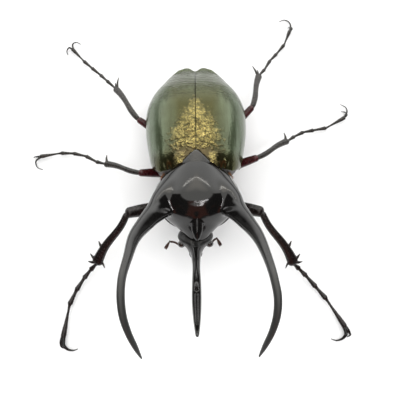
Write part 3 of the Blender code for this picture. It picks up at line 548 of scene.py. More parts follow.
def tapered(points, thick, tip, count=24, sides=12, round_ends=True):
    """A closed round piece carried along the points, from thick to tip, with ends rounded or left full."""
    points = np.array(points, float)
    sizes = np.linspace(thick, tip, len(points))
    rows = curve_through(np.column_stack([points, sizes, sizes]), count)
    if round_ends:
        rows[:, 3:5] *= end_rounding(count, 0.12)[:, None]
    return closed_shell(rings_along(rows, circle(sides), upright(rows[-1, :3] - rows[0, :3])))


def end_rounding(count, reach):
    """Factors that draw the first and last sections in along a quarter circle."""
    share = np.linspace(0.0, 1.0, count)
    end = np.minimum(share, 1 - share)
    return np.sqrt(np.maximum(1 - np.maximum(0.0, 1 - end / reach) ** 2, 0.004))


# Materials


class Kit:
    """The nodes of one material or room, and a short way to add each kind that is used here.

    An input takes a plain number, a plain colour or another node's output.
    """

    def __init__(self, tree, shader):
        """Takes the tree's nodes and links, and the node in it that shades."""
        self.nodes, self.links, self.shader = tree.nodes, tree.links, tree.nodes[shader]

    def feed(self, socket, value):
        """Links an output to the socket, or sets a plain value on it."""
        if isinstance(value, bpy.types.NodeSocket):
            self.links.new(value, socket)
        else:
            socket.default_value = (*value, 1.0) if socket.type == "RGBA" else value

    def set(self, name, value):
        """Feeds one of the shader's own inputs."""
        self.feed(self.shader.inputs[name], value)

    def node(self, kind, *inputs, **settings):
        """A new node with its settings, and its inputs given as pairs of a name or number and a value."""
        made = self.nodes.new("ShaderNode" + kind)
        for name, value in settings.items():
            setattr(made, name, value)
        for name, value in inputs:
            self.feed(made.inputs[name], value)
        return made

    def place(self):
        """The object's own coordinates, in metres."""
        return self.node("TexCoord").outputs["Object"]

    def split(self, vector):
        """The vector's X, Y and Z."""
        return self.node("SeparateXYZ", ("Vector", vector)).outputs

    def glossy_ray(self):
        """1 for what a glossy surface mirrors, and 0 for the rest."""
        return self.node("LightPath").outputs["Is Glossy Ray"]

    def noise(self, scale, detail=3.0, stretch=(1.0, 1.0, 1.0)):
        """A noise with a feature size of 1 / scale metres."""
        place = self.node("Mapping", ("Vector", self.place()), ("Scale", stretch)).outputs["Vector"]
        return self.node("TexNoise", ("Vector", place), ("Scale", scale), ("Detail", detail)).outputs["Fac"]

    def pits(self, scale):
        """Small round pits: 0 in a pit and 1 between pits."""
        cells = self.node("TexVoronoi", ("Vector", self.place()), ("Scale", scale))
        return self.ranged(cells.outputs["Distance"], 0.10, 0.32)

    def ranged(self, value, low, high, to_low=0.0, to_high=1.0):
        """The value carried evenly from low and high to to_low and to_high, and held past them."""
        return self.node("MapRange", ("Value", value), ("From Min", low), ("From Max", high),
                         ("To Min", to_low), ("To Max", to_high)).outputs["Result"]

    def maths(self, operation, first, second=0.0):
        """One operation on one or two values."""
        return self.node("Math", (0, first), (1, second), operation=operation).outputs["Value"]

    def times(self, first, second):
        """first times second."""
        return self.maths("MULTIPLY", first, second)

    def plus(self, first, second):
        """first plus second."""
        return self.maths("ADD", first, second)

    def minus(self, first, second):
        """first minus second."""
        return self.maths("SUBTRACT", first, second)

    def mixed(self, factor, first, second):
        """A colour between two."""
        return self.node("Mix", ("Factor", factor), (6, first), (7, second), data_type="RGBA").outputs[2]

    def raise_with(self, height, distance, strength=1.0):
        """A bump from the height, over the bumps that the shader has already."""
        made = self.node("Bump", ("Distance", distance), ("Strength", strength), ("Height", height))
        normal = self.shader.inputs["Normal"]
        if normal.is_linked:
            self.links.new(normal.links[0].from_socket, made.inputs["Normal"])
        self.links.new(made.outputs["Normal"], normal)


def new_material(name, colour, roughness, metallic=0.0, coat=0.0, ior=1.5):
    """A Principled material with its plain settings, and its kit."""
    made = bpy.data.materials.new(name)
    made.use_nodes = True
    kit = Kit(made.node_tree, "Principled BSDF")
    for socket, value in (("Base Color", colour), ("Roughness", roughness), ("Metallic", metallic),
                          ("Coat Weight", coat), ("Coat Roughness", 0.06), ("IOR", ior)):
        kit.set(socket, value)
    return made, kit


def scaled(colour, *factors):
    """The colour times one factor, or times one factor for each of its channels."""
    return [factor * value for factor, value in zip(factors * (3 // len(factors)), colour)]


def in_frame(axis, millimetres):
    """A coordinate of the beetle's own frame as the materials see it."""
    return float(BASE[axis]) + millimetres * MM


def black_shell_material(colours, name="Black shell", satin_and_sheen=0.0):
    """Polished black chitin with a faint brown cast and very fine pitting.

    The amount given is added to the roughness at the horns' tips, where the black is also painted a little
    paler: a painted sheen.
    """
    polish = 0.07
    made, kit = new_material(name, colours.black, polish, ior=1.48)
    gloss = kit.ranged(kit.noise(900.0, 4.0), 0.35, 0.75, polish, polish + 0.06)
    tip = kit.ranged(kit.split(kit.place())["Y"], in_frame(1, -12.0), in_frame(1, -36.0), 0.0, satin_and_sheen)
    kit.set("Roughness", kit.plus(gloss, tip))
    brown = [value * 2.0 + 0.001 for value in colours.black]
    shade = kit.mixed(kit.noise(140.0), colours.black, brown)
    # Painted sheen: towards the horns' tips the black is painted paler grey
    kit.set("Base Color", kit.mixed(tip, shade, (0.055, 0.056, 0.053)))
    kit.raise_with(kit.noise(5200.0, 2.0), 0.000012, 0.35)
    kit.raise_with(kit.noise(350.0, 2.0), 0.00012, 0.12)
    return made


def bronze_material(colours):
    """Metallic olive bronze, crinkled along the suture, greener and smoother outwards.

    A golden wedge along the suture is a painted glint, the lamp behind as mirrored in the crinkles; it has
    ragged edges and returns in two patches beside the small plate. The paler green outwards and at the apex
    is partly the covers' own green and partly painted reflection of the side walls, with painted streaks on
    the flanks. A brown patch lies at the front between the patches, the apex has cross ridges, and the
    suture is a thin dark line.
    """
    made, kit = new_material("Bronze wing cover", colours.bronze, 0.2, 0.85)
    where = kit.split(kit.place())
    from_suture = kit.maths("ABSOLUTE", kit.minus(where["X"], in_frame(0, 0.0)))
    rearward = kit.minus(where["Y"], in_frame(1, 20.0))
    apex = kit.ranged(where["Y"], in_frame(1, 40.0), in_frame(1, 56.0))
    ragged = kit.ranged(kit.noise(700.0), 0.3, 0.7, -0.0022, 0.0022)

    # The painted glint's wedge narrows rearward, and its patches are bands on both sides of the small plate
    narrowing = kit.times(kit.maths("MAXIMUM", kit.minus(rearward, 0.008)), 0.62)
    wedge = kit.ranged(kit.plus(kit.plus(from_suture, narrowing), ragged), 0.0106, 0.0024)
    wedge = kit.times(wedge, kit.ranged(kit.minus(rearward, ragged), 0.0, 0.0040))
    off_band = kit.plus(kit.maths("ABSOLUTE", kit.minus(from_suture, 0.0066)), kit.times(ragged, 0.3))
    patches = kit.times(kit.ranged(off_band, 0.0021, 0.0009), kit.ranged(rearward, -0.0005, -0.0020))
    painted_glint = kit.maths("MAXIMUM", wedge, kit.times(patches, 0.5))

    # Paler green outwards and at the apex: partly the covers' real green, partly painted reflection of the
    # side walls
    outer = kit.maths("MAXIMUM", kit.ranged(from_suture, 0.0065, 0.0165), kit.times(apex, 0.5))
    outer = kit.times(outer, kit.ranged(rearward, -0.0035, 0.002, 0.1, 1.0))
    green = scaled(colours.bronze, 1.55, 2.15, 3.3)
    tint = kit.mixed(outer, colours.bronze, green)
    patch = kit.times(kit.ranged(kit.plus(from_suture, ragged), 0.0112, 0.0062),
                      kit.ranged(kit.plus(rearward, ragged), 0.0040, 0.0, 0.0, 0.75))
    tint = kit.mixed(patch, tint, scaled(colours.bronze, 2.0, 1.55, 2.1))
    cloud = kit.ranged(kit.noise(260.0, 4.0), 0.35, 0.7)
    tint = kit.mixed(kit.times(cloud, 0.35), tint, scaled(colours.bronze, 0.6))
    # Painted reflection: long pale green streaks on the flanks
    painted_streaks = kit.ranged(kit.noise(210.0, 2.0, (1.6, 0.1, 1.0)), 0.45, 0.7, 0.0, 0.45)
    tint = kit.mixed(kit.times(painted_streaks, outer), tint, scaled(green, 1.7))
    # Painted glint: the golden colour is laid into the wedge and the patches, broken up by noise
    gleam = kit.times(painted_glint, kit.ranged(kit.noise(420.0, 2.0, (0.8, 1.2, 1.0)), 0.25, 0.6))
    tint = kit.mixed(gleam, tint, colours.painted_glint)
    seam = kit.ranged(from_suture, 0.00028, 0.00010, 0.0, 0.8)
    kit.set("Base Color", kit.mixed(seam, tint, (0.006, 0.006, 0.003)))

    crinkle = kit.times(kit.noise(1500.0, 1.5, (0.8, 1.1, 1.0)), kit.plus(kit.times(painted_glint, 0.95), 0.05))
    kit.raise_with(crinkle, 0.0016)
    kit.raise_with(kit.times(kit.noise(700.0, 2.0, (0.25, 2.0, 1.0)), apex), 0.0006, 0.7)
    kit.raise_with(kit.noise(260.0, 2.0, (2.2, 0.12, 1.0)), 0.0004, 0.35)
    kit.raise_with(kit.noise(4200.0, 2.0), 0.000012, 0.3)

    kit.set("Roughness", kit.times(kit.ranged(painted_glint, 0.0, 1.0, 0.16, 0.11),
                                   kit.ranged(rearward, -0.001, 0.004, 0.45, 1.0)))
    off_seam = kit.ranged(seam, 0.0, 0.8, 1.0, 0.0)
    kit.set("Metallic", kit.times(kit.ranged(outer, 0.0, 1.0, 0.85, 0.4), off_seam))
    kit.set("Specular IOR Level", kit.times(off_seam, 0.5))
    return made


def leg_material(name, colour, roughness=0.24, lumps=0.5):
    """Satin chitin with paler clouds, low lumps and small pits. lumps is the strength of the lumps."""
    made, kit = new_material(name, colour, roughness, ior=1.39)
    cloud = kit.ranged(kit.noise(700.0, 4.0), 0.35, 0.7)
    pale = [min(1.0, value * 2.6 + 0.002) for value in colour]
    kit.set("Base Color", kit.mixed(cloud, colour, pale))
    kit.set("Roughness", kit.ranged(kit.noise(1500.0), 0.3, 0.7, roughness - 0.08, roughness + 0.14))
    kit.raise_with(kit.noise(1000.0, 4.0), 0.0004, lumps)
    kit.raise_with(kit.pits(1500.0), 0.00006, 0.5)
    return made


def rough_black_material(colours, name, smooth, lump_scale, lump_height):
    """Black chitin with dense deep pits over lumps. smooth is its roughness between the pits."""
    made, kit = new_material(name, colours.black, smooth, ior=1.54)
    pit = kit.pits(3800.0)
    kit.set("Roughness", kit.ranged(pit, 0.0, 1.0, smooth + 0.3, smooth))
    kit.raise_with(pit, 0.00005, 0.8)
    kit.raise_with(kit.noise(lump_scale), lump_height, 0.4)
    return made


def eye_material():
    """Compound eye: dark brown facets under a clear gloss."""
    made, kit = new_material("Compound eye", (0.012, 0.006, 0.004), 0.18, coat=0.9)
    facets = kit.node("TexVoronoi", ("Vector", kit.place()), ("Scale", 5200.0), ("Randomness", 0.25))
    facet = facets.outputs["Distance"]
    kit.set("Base Color", kit.mixed(facet, (0.014, 0.008, 0.004), (0.004, 0.002, 0.002)))
    kit.raise_with(facet, -0.00005, 0.6)
    return made


def hair_material(colours):
    """Rust orange bristle, darker in places."""
    made, kit = new_material("Bristle", colours.hair, 0.45)
    kit.set("Base Color", kit.mixed(kit.noise(900.0), colours.hair, scaled(colours.hair, 0.45)))
    return made


def floor_material():
    """White paper with a very faint tone in it.

    What shines mirrors only an oval sheet of it: past the oval the paper is painted dark for glossy rays,
    a painted dark reflection.
    """
    made, kit = new_material("Floor paper", (0.93, 0.93, 0.925), 0.65)
    paper = kit.mixed(kit.noise(12.0), (0.93, 0.93, 0.93), (0.91, 0.91, 0.908))
    oval = kit.node("Mapping", ("Vector", kit.place()), ("Scale", (1.35, 1.0, 1.0)))
    reach = kit.node("VectorMath", (0, oval.outputs["Vector"]), operation="LENGTH").outputs["Value"]
    # Painted dark reflection: far from the beetle the paper is dark to glossy rays only
    far = kit.times(kit.glossy_ray(), kit.ranged(reach, 0.18, 0.27))
    kit.set("Base Color", kit.mixed(far, paper, (0.05, 0.05, 0.05)))
    return made


MATERIALS = {}


def finish_of(name):
    """The material of that name, made once."""
    colours = bpy.context.scene.beetle_colours
    makers = {"black": lambda: black_shell_material(colours),
              "horn": lambda: black_shell_material(colours, "Horn shell", 0.33),
              "pitted": lambda: rough_black_material(colours, "Pitted black shell", 0.2, 600.0, 0.0002),
              "rough": lambda: rough_black_material(colours, "Rough black shell", 0.3, 1400.0, 0.0006),
              "bronze": lambda: bronze_material(colours),
              "leg": lambda: leg_material("Leg shell", colours.leg),
              "fore": lambda: leg_material("Fore leg shell", colours.fore_leg, 0.2, 0.35),
              "thigh": lambda: leg_material("Thigh shell", colours.thigh, 0.2, 0.25),
              "under": lambda: leg_material("Underside shell", (0.014, 0.010, 0.008), 0.32),
              "antenna": lambda: leg_material("Antenna shell", (0.022, 0.008, 0.005), 0.3),
              "hair": lambda: hair_material(colours),
              "eye": eye_material,
              "floor": floor_material}
    if name not in MATERIALS:
        MATERIALS[name] = makers[name]()
    return MATERIALS[name]


def settle(made, look, nodes=()):
    """Gives a piece its material and its body, and hides the nodes that it stands for."""
    made.data.materials.clear()
    made.data.materials.append(finish_of(look))
    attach(made, "root")
    if nodes:
        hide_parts(*nodes)
    return made


def dressed(name, shell, look, slot, *nodes):
    """A piece made from its points and faces, and settled."""
    return settle(mesh_object(name, *shell), look, nodes)


# Shells of the back


def scutellum_edge(x):
    """Y of the small plate's slanting sides, which meet at its tip."""
    share = np.clip(np.abs(x) / SCUTELLUM_HALF, 0.0, 1.0)
    return EDGE_Y + SCUTELLUM_LONG * (1 - share**SCUTELLUM_POWER)


def elytra_front(share, x):
    """Y of an elytron's front edge, from the small plate's tip to the rounded shoulder."""
    beyond = np.maximum(0.0, (share - SHOULDER_FROM) / (1 - SHOULDER_FROM))
    edge = np.maximum(rear_edge(x), np.where(x < SCUTELLUM_HALF, scutellum_edge(x), 0.0))
    return np.maximum(edge + 0.02, SHOULDER_Y + SHOULDER_BACK * beyond**2)


def rear_lobe(x, y):
    """How far back the lobe at an elytron's rear end carries a point."""
    run = np.maximum(0.0, (y - LOBE_FROM_Y) / (APEX_Y - LOBE_FROM_Y)) ** 2
    return LOBE_LONG * run * (1 - bump(x, LOBE_INNER)) * bump(x, LOBE_OUTER)


def elytron_relief(x, y, back, above, share):
    """How far each point of an elytron is raised outwards: the sum of its bells and furrows.

    back is the way behind the front edge, above the height over the margin and share the place from
    the suture to the margin. The front edge rolls down from the gold outwards, less at the shoulder.
    """
    rolled = smooth_step((x - ROLL_X[0]) / ROLL_SPREAD)
    rolled = rolled * (1 - ROLL_EASE * smooth_step((x - ROLL_X[1]) / ROLL_SPREAD))
    shoulder = smooth_step((share - ROLL_SHOULDER) / (1 - ROLL_SHOULDER))
    rolled = rolled * (1 - ROLL_SHOULDER_EASE * shoulder)
    rise = -ROLL_DEEP * bump(back, ROLL_LONG) * rolled - LIP_DEEP * bump(back, LIP_LONG)
    for place, wide, deep in SUTURE_FURROWS:
        rise = rise - deep * bump(x - place, wide)
    ridge_x, ridge_back = FRONT_RIDGE
    across, along = FRONT_RIDGE_REACH
    ridge = bump(x - ridge_x, across) * bump(back - ridge_back, along)
    place, wide, deep = MARGIN_FURROW
    rise = rise + FRONT_RIDGE_HIGH * ridge - np.where(x > 5, deep * bump(above - place, wide), 0.0)
    for knob_x, knob_y, stretch, wide in ELYTRON_KNOBS:
        rise = rise + KNOB_HIGH * bump(np.hypot(x - knob_x, (y - knob_y) * stretch), wide)
    return rise


def elytron_points(side, rows=180, columns=130):
    """Half the dome, by turn from the suture to the margin and by run from front to apex.

    x = half sin^(2/p), z = margin + rise cos^(2/p), raised by elytron_relief() and carried back at
    the apex by rear_lobe().
    """
    run, turn = np.meshgrid(np.linspace(0.0, 1.0, rows), np.linspace(0.0, 1.0, columns), indexing="ij")
    turn = turn * math.pi / 2
    share = np.sin(turn) ** (2 / ELYTRA_POWER)
    front = elytra_front(share, share * ELYTRA_WIDTH[0][1])
    y = front + (APEX_Y - front) * np.sin(run * math.pi / 2) ** 1.15
    half, top, margin = at(ELYTRA_WIDTH, y), at(ELYTRA_TOP, y), at(ELYTRA_MARGIN, y)
    x = SEAM_HALF + (half - SEAM_HALF) * share
    above = (top - margin) * np.cos(turn) ** (2 / ELYTRA_POWER)
    outward = stacked(np.sin(turn) ** 1.5, 0.0, np.cos(turn) ** 0.8)
    rise = elytron_relief(x, y, y - front, above, share)
    points = stacked(x, y + rear_lobe(x, y), margin + above) + outward * rise[..., None]
    return points * (side, 1, 1)


def elytron_shell(side):
    """The outer face, an inner face set in along its normals, and a rim between the two."""
    outer = elytron_points(side)
    slopes = np.cross(np.gradient(outer, axis=1), np.gradient(outer, axis=0)) * side
    normals = unit(slopes + (side * 1e-9, 0.0, 1e-9))
    thinner = ELYTRON_THINNING * smooth_step((outer[..., 1] - THINS_FROM_Y) / THINS_LONG)
    thick = ELYTRON_THICK * (1 - thinner)
    inner = outer - normals * thick[..., None]
    rows, columns = outer.shape[:2]
    index = np.arange(rows * columns).reshape(rows, columns)
    quads = np.stack([index[:-1, :-1], index[:-1, 1:], index[1:, 1:], index[1:, :-1]], axis=-1)
    rim = np.concatenate([index[0], index[1:, -1], index[-1, -2::-1], index[-2:0:-1, 0]])
    after = np.roll(rim, -1)
    wall = np.stack([rim, after, after + index.size, rim + index.size], axis=-1)
    faces = quads.reshape(-1, 4).tolist() + (quads.reshape(-1, 4)[:, ::-1] + index.size).tolist()
    return np.concatenate([outer.reshape(-1, 3), inner.reshape(-1, 3)]), faces + wall.tolist()


def scutellum_shell(rows=48, sides=40):
    """The small plate between the elytra: a rounded triangle, a little domed.

    Its half width narrows to the tip as (1 - share)^(1/p), and z falls off with x squared.
    """
    y = EDGE_Y - 0.8 + np.linspace(0.0, 1.0, rows) * (SCUTELLUM_LONG + 0.75)
    share = np.clip((y - EDGE_Y) / SCUTELLUM_LONG, 0.0, 1.0)
    half = SCUTELLUM_HALF * (1 - share) ** (1 / SCUTELLUM_POWER) + SCUTELLUM_ROUND
    thick = SCUTELLUM_THICK * np.sqrt(half / SCUTELLUM_HALF)
    section = superellipse(full_turn(sides), 2.6)
    x = half[:, None] * section[:, 0]
    z = (at(ELYTRA_TOP, y) - SCUTELLUM_SUNK)[:, None] + section[:, 1] * thick[:, None]
    return closed_shell(stacked(x, y[:, None], z - SCUTELLUM_DOME * x**2))


# Pronotum and its horns


def side_horn_rows(side, count):
    """Rows along a side horn's middle line, evenly by length."""
    rows = np.array(SIDE_HORN) * (side, 1, 1, 1, 1)
    rows[:, 0] += SIDE_HORN_SWAY
    return curve_through(rows, count)


def horn_section(count, sides, inner):
    """Sections with a flat band on the outer half of the back and a slanting face inside of it.

    inner is the sign of the section's x on the inner side. The back becomes v (1 - deep inside), where
    inside grows from 0 at the slant's edge to 1. deep sets in past the root and eases towards the tip.
    """
    section = np.repeat(superellipse(full_turn(sides), 2.5)[None], count, axis=0)
    share = np.linspace(0.0, 1.0, count)[:, None]
    deep = SLANT_DEEP * smooth_step((share + 0.02) / 0.12) - SLANT_EASE * smooth_step((share - 0.25) / 0.4)
    outward, up = -inner * section[..., 0], section[..., 1]
    inside = np.clip((SLANT_EDGE - outward) / (SLANT_EDGE + 1), 0.0, 1.0)
    section[..., 1] = np.where(up > 0, up * (1 - deep * inside), up)
    return section


def side_horn_shell(side, count=260):
    """A side horn: its sections carried along its middle line, drawn in at the tip."""
    rows = side_horn_rows(side, count)
    rows[-4:, 3:5] *= np.linspace(1.0, 0.5, 4)[:, None]
    return closed_shell(rings_along(rows, horn_section(count, 72, side), (0.0, 0.22, 0.97)))


def pronotum_shell(count=150, sides=180):
    """The shield as one closed body, by section from the neck to the rear edge.

    Its upper side is swept forwards beside the middle at the rear, and backwards at the front's sides.
    """
    y = np.linspace(PRONOTUM[0][0], EDGE_Y - 0.1, count)
    lean, half, top, side, bottom = at(PRONOTUM, y).T
    turn = full_turn(sides)
    bow = smooth_step((y - BOW_FROM_Y) / (EDGE_Y - BOW_FROM_Y))
    power = PRONOTUM_POWER + DISC_FLAT * bump(y - DISC_FLAT_Y, DISC_FLAT_LONG)
    rings = body_rings(y, half, top, side, bottom, turn, power[:, None], PRONOTUM_BELLY, lean, bow)
    swept = SWEEP_MOST * np.tanh(SWEEP * (np.sqrt(rings[..., 0] ** 2 + 0.5) - 0.7) / SWEEP_MOST)
    upper = smooth_step((rings[..., 2] - side[:, None]) / (top - side)[:, None] * 2 - 0.5)
    rings[..., 1] -= swept * upper * bump(y - SWEEP_Y, SWEEP_LONG)[:, None]
    drawn = FRONT_SWEEP * np.minimum(FRONT_SWEEP_MOST, (rings[..., 0] / FRONT_SWEEP_X) ** 2)
    rings[..., 1] += drawn * smooth_step((FRONT_SWEEP_FROM_Y - y) / FRONT_SWEEP_LONG)[:, None]
    return closed_shell(rings)


def with_margin(points, normals):
    """Raises a bead along the shield's widest line, with a groove above it."""
    y = np.clip(points[:, 1], PRONOTUM[0][0], EDGE_Y)
    side = at(PRONOTUM, y)[:, 3]
    above = points[:, 2] - side
    lift = MARGIN_BEAD * bump(above, 0.5) - MARGIN_GROOVE * bump(above - 1.15, 0.42)
    place = smooth_step((points[:, 1] - MARGIN_FROM_Y) / 3.0)
    place = place * smooth_step((EDGE_Y - 0.6 - points[:, 1]) / 1.2)
    on_shield = smooth_step(2.0 - np.abs(outside_pronotum(points)) / 0.9)
    return points + normals * (lift * place * on_shield)[:, None]


def outside_pronotum(points):
    """About how far each point is outside the shield's own surface, in millimetres."""
    y = np.clip(points[:, 1], PRONOTUM[0][0], EDGE_Y)
    _, half, top, side, bottom = at(PRONOTUM, y).T
    reach = np.where(points[:, 2] > side, top - side, side - bottom)
    level = ((np.abs(points[:, 0]) / half) ** PRONOTUM_POWER
             + (np.abs(points[:, 2] - side) / reach) ** PRONOTUM_POWER) ** (1 / PRONOTUM_POWER)
    return (level - 1) * half


def near_horn_roots(points, paths):
    """A weight by point: 1 where a horn's surface meets the shield's, and 0 well away from there."""
    weight = np.zeros(len(points))
    off_shield = np.abs(outside_pronotum(points))
    for name, (rows, _) in paths.items():
        nearest, distance = nearest_on(rows[:, :3], points)
        off_horn = np.abs(distance - rows[nearest, 3:5].mean(axis=1) / 2)
        reach = MIDDLE_BLEND if "middle" in name else SIDE_BLEND
        near = smooth_step(1.4 - off_horn / reach) * smooth_step(1.4 - off_shield / reach)
        weight = np.maximum(weight, near)
    return weight


def hollow_beside_horns(x, y, z):
    """How far the shield sinks between the middle and the side horns' roots."""
    across = bump(np.abs(x) - HOLLOW_X, HOLLOW_WIDE)
    along = smooth_step((HOLLOW_Y[1] - y) / 6.0) * smooth_step((y - HOLLOW_Y[0]) / 3.0)
    return HOLLOW_DEEP * across * along * smooth_step((z - HOLLOW_Z) / 4.0)


def make_pronotum_and_horns():
    """One skin, relaxed where the horns grow from the shield, then parted into shield and horns."""
    voxel = 0.27
    middle_rows = curve_through(MIDDLE_HORN, 90)
    middle_rows[:, 3:5] *= np.sqrt(np.clip((1.03 - np.linspace(0, 1, 90)) / 0.1, 0.05, 1))[:, None]
    ridged = superellipse(full_turn(48), MIDDLE_HORN_POWER)
    shells = [pronotum_shell(), side_horn_shell(1), side_horn_shell(-1),
              closed_shell(rings_along(middle_rows, ridged, (0.0, 0.35, 0.94)))]
    points, quads, edges = voxel_union(shells, voxel)
    paths = {"pronotal_horn_left": (side_horn_rows(1, 300), SIDE_HORN_CUT),
             "pronotal_horn_right": (side_horn_rows(-1, 300), SIDE_HORN_CUT),
             "pronotal_horn_middle": (curve_through(MIDDLE_HORN, 120), MIDDLE_HORN_CUT)}
    weight = near_horn_roots(points, paths)
    even = np.full(len(points), 0.5)
    points = relax(points, edges, even, 24, keep=KEEP_SIZE)
    points = relax(points, edges, weight * 0.9, int(30 * (0.5 / voxel) ** 2))
    points[:, 2] -= hollow_beside_horns(*points.T)
    points = relax(points, edges, even, 12, keep=KEEP_SIZE)
    points = with_margin(points, skin_normals(points, quads))
    return part_horns("pronotum", points, quads, paths)


def skin_normals(points, quads):
    """Each point's normal: the sum of the normals of its faces."""
    across, along = points[quads[:, 2]] - points[quads[:, 0]], points[quads[:, 3]] - points[quads[:, 1]]
    faces = np.cross(across, along)
    summed = stacked(*(np.bincount(quads.ravel(), np.repeat(faces[:, axis], 4), len(points))
                       for axis in range(3)))
    return unit(summed + 1e-12)


def part_horns(base, points, quads, paths):
    """The skin's faces beyond each cut become a horn's own piece, with the skin's own normals."""
    normals = skin_normals(points, quads)
    centres = points[quads].mean(axis=1)
    owner = np.full(len(quads), base, dtype="<U32")
    for name, (rows, cut) in paths.items():
        nearest, distance = nearest_on(rows[:, :3], centres)
        beyond = nearest >= cut * len(rows)
        owner[beyond & (distance < rows[nearest, 3:5].max(axis=1))] = name
    return {name: capped_piece(name, points, normals, quads[owner == name]) for name in (base, *paths)}


def capped_piece(name, points, normals, own):
    """A part of the skin, with a wall that goes in from its rim and a cap on the wall's inner end."""
    used, faces = np.unique(own, return_inverse=True)
    faces = faces.reshape(-1, 4)
    edges = np.stack([faces, np.roll(faces, -1, axis=1)], axis=-1).reshape(-1, 2)
    _, index, count = np.unique(np.sort(edges, axis=1), axis=0, return_inverse=True, return_counts=True)
    rim = edges[count[index.ravel()] == 1]
    inner = np.full(len(used), -1)
    ends = np.unique(rim)
    inner[ends] = len(used) + np.arange(len(ends))
    deep = points[used[ends]] - CAP_DEPTH * normals[used[ends]]
    walls = np.stack([rim[:, 1], rim[:, 0], inner[rim[:, 0]], inner[rim[:, 1]]], axis=-1)
    piece = mesh_object(name + "_shell", np.concatenate([points[used], deep]),
                        faces.tolist() + walls.tolist(), outward=False)
    skin = bmesh.new()
    skin.from_mesh(piece.data)
    made = bmesh.ops.holes_fill(skin, edges=[edge for edge in skin.edges if edge.is_boundary], sides=0)
    bmesh.ops.triangulate(skin, faces=made["faces"])
    skin.to_mesh(piece.data)
    skin.free()
    piece.data.shade_smooth()
    own_normals = np.zeros((len(piece.data.vertices), 3), np.float32)
    own_normals[:len(used)] = normals[used]
    piece.data.normals_split_custom_set_from_vertices(own_normals.tolist())
    return piece


# Head


def head_shell(count=80, sides=96):
    """The head from the neck to the lip, by section."""
    y = np.linspace(HEAD[0][0], HEAD[-1][0], count)
    lean, half, top, side, bottom = at(HEAD[::-1], y).T
    turn = full_turn(sides)
    rings = body_rings(y, half, top, side, bottom, turn, 2.1, 2.0, lean)
    return closed_shell(rings + HEAD_MIDDLE)


def head_horn_shell(count=220, sides=56):
    """The head's horn: edged sides, a ridge on its back that gives way to a furrow past the middle."""
    rows = curve_through(HEAD_HORN, count)
    share = np.linspace(0.0, 1.0, count)[:, None]
    turn = full_turn(sides)[None]
    edges = bump((turn % math.pi) - math.pi / 4, 0.45) + bump((turn % math.pi) - 3 * math.pi / 4, 0.45)
    section = superellipse(np.broadcast_to(turn, (count, sides)), 2.0 + 1.1 * edges)
    furrow = 0.42 * smooth_step((share - HEAD_FURROW_FROM) / 0.12) * smooth_step((0.97 - share) / 0.12)
    ridge = 0.18 * smooth_step((HEAD_FURROW_FROM - share) / 0.15)
    back = np.where(np.sin(turn) > 0, 1.0, 0.0) * bump(section[..., 0], 0.45)
    section[..., 1] *= 1 + back * (ridge - furrow)
    rows[-8:, 3:5] *= np.sqrt(1 - np.linspace(0.0, 0.95, 8) ** 2)[:, None]
    return closed_shell(rings_along(rows, section, HEAD_LIFT))


def head_tooth_shell():
    """The small tooth on the back of the head's horn."""
    place, after = curve_through(HEAD_HORN, 2, HEAD_TOOTH_AT, HEAD_TOOTH_AT + 0.02)
    root, onward = place[:3], unit(after[:3] - place[:3])
    back = np.array(HEAD_LIFT) * (place[4] / 2 + HEAD_TOOTH_LONG * 0.6)
    return tapered((root, root + back * 0.6 + onward * 0.1, root + back - onward * 0.2), 2.4, 0.5, 30, 24,
                   round_ends=False)


def make_head_and_horn():
    """One skin of head, horn, tooth, lip and brows, relaxed at the horn's root, then parted in two."""
    voxel = 0.17
    shells = [head_shell(), head_horn_shell(), head_tooth_shell(), tapered(LIP + HEAD_MIDDLE, 2.4, 2.4)]
    for side in (-1, 1):
        shells.append(tapered(np.array(CANTHUS) * (side, 1, 1) + HEAD_MIDDLE, 1.0, 0.5))
    points, quads, edges = voxel_union(shells, voxel)
    rows = curve_through(HEAD_HORN, 200)
    nearest, distance = nearest_on(rows[:, :3], points)
    near_root = smooth_step((0.22 - nearest / 200) / 0.12) * smooth_step(2.2 - distance / 3.2)
    even = np.full(len(points), 0.5)
    points = relax(points, edges, even, 16, keep=KEEP_SIZE)
    points = relax(points, edges, 0.85 * near_root, int(22 * (0.3 / voxel) ** 2))
    points = relax(points, edges, even, 8, keep=KEEP_SIZE)
    return part_horns("head", points, quads, {"head_horn": (rows, HEAD_HORN_CUT)})


def eye_shell(side, count=40, sides=48):
    """A ball, a little flattened from front to rear."""
    rise = np.linspace(-math.pi / 2 + 0.04, math.pi / 2 - 0.04, count)[:, None]
    turn = full_turn(sides)[None]
    ball = stacked(np.cos(rise) * np.cos(turn), 0.95 * np.cos(rise) * np.sin(turn), np.sin(rise))
    return closed_shell(EYE * (side, 1, 1) + HEAD_MIDDLE + ball * EYE_RADIUS)


def antenna_shells(stem, club):
    """A jointed stem and a club of three flat leaves, spread like a fan from the stem's end."""
    stem, club = stem + HEAD_MIDDLE, club + HEAD_MIDDLE
    rows = curve_through(np.column_stack([stem, np.full((3, 2), STEM_THICK)]), 60)
    share = np.linspace(0.0, 1.0, 60)
    rows[:, 3:5] *= (0.8 + 0.14 * np.abs(np.sin(share * 5.5 * math.pi)) + 0.5 * bump(share, 0.12))[:, None]
    shells = [closed_shell(rings_along(rows, circle(16)))]
    for i in range(3):
        spread = Matrix.Rotation(math.radians(CLUB_SPREAD * (i - 1)), 3, "Z")
        reach = np.array(spread @ Vector(club - stem[-1]))
        first = stem[-1] - 0.1 * reach + (0.0, 0.0, 0.13 * i)
        leaf = [(*(first + share * reach), wide, high) for share, wide, high in CLUB_LEAF]
        shells.append(closed_shell(rings_along(curve_through(leaf, 24), circle(16))))
    return shells


# Underside


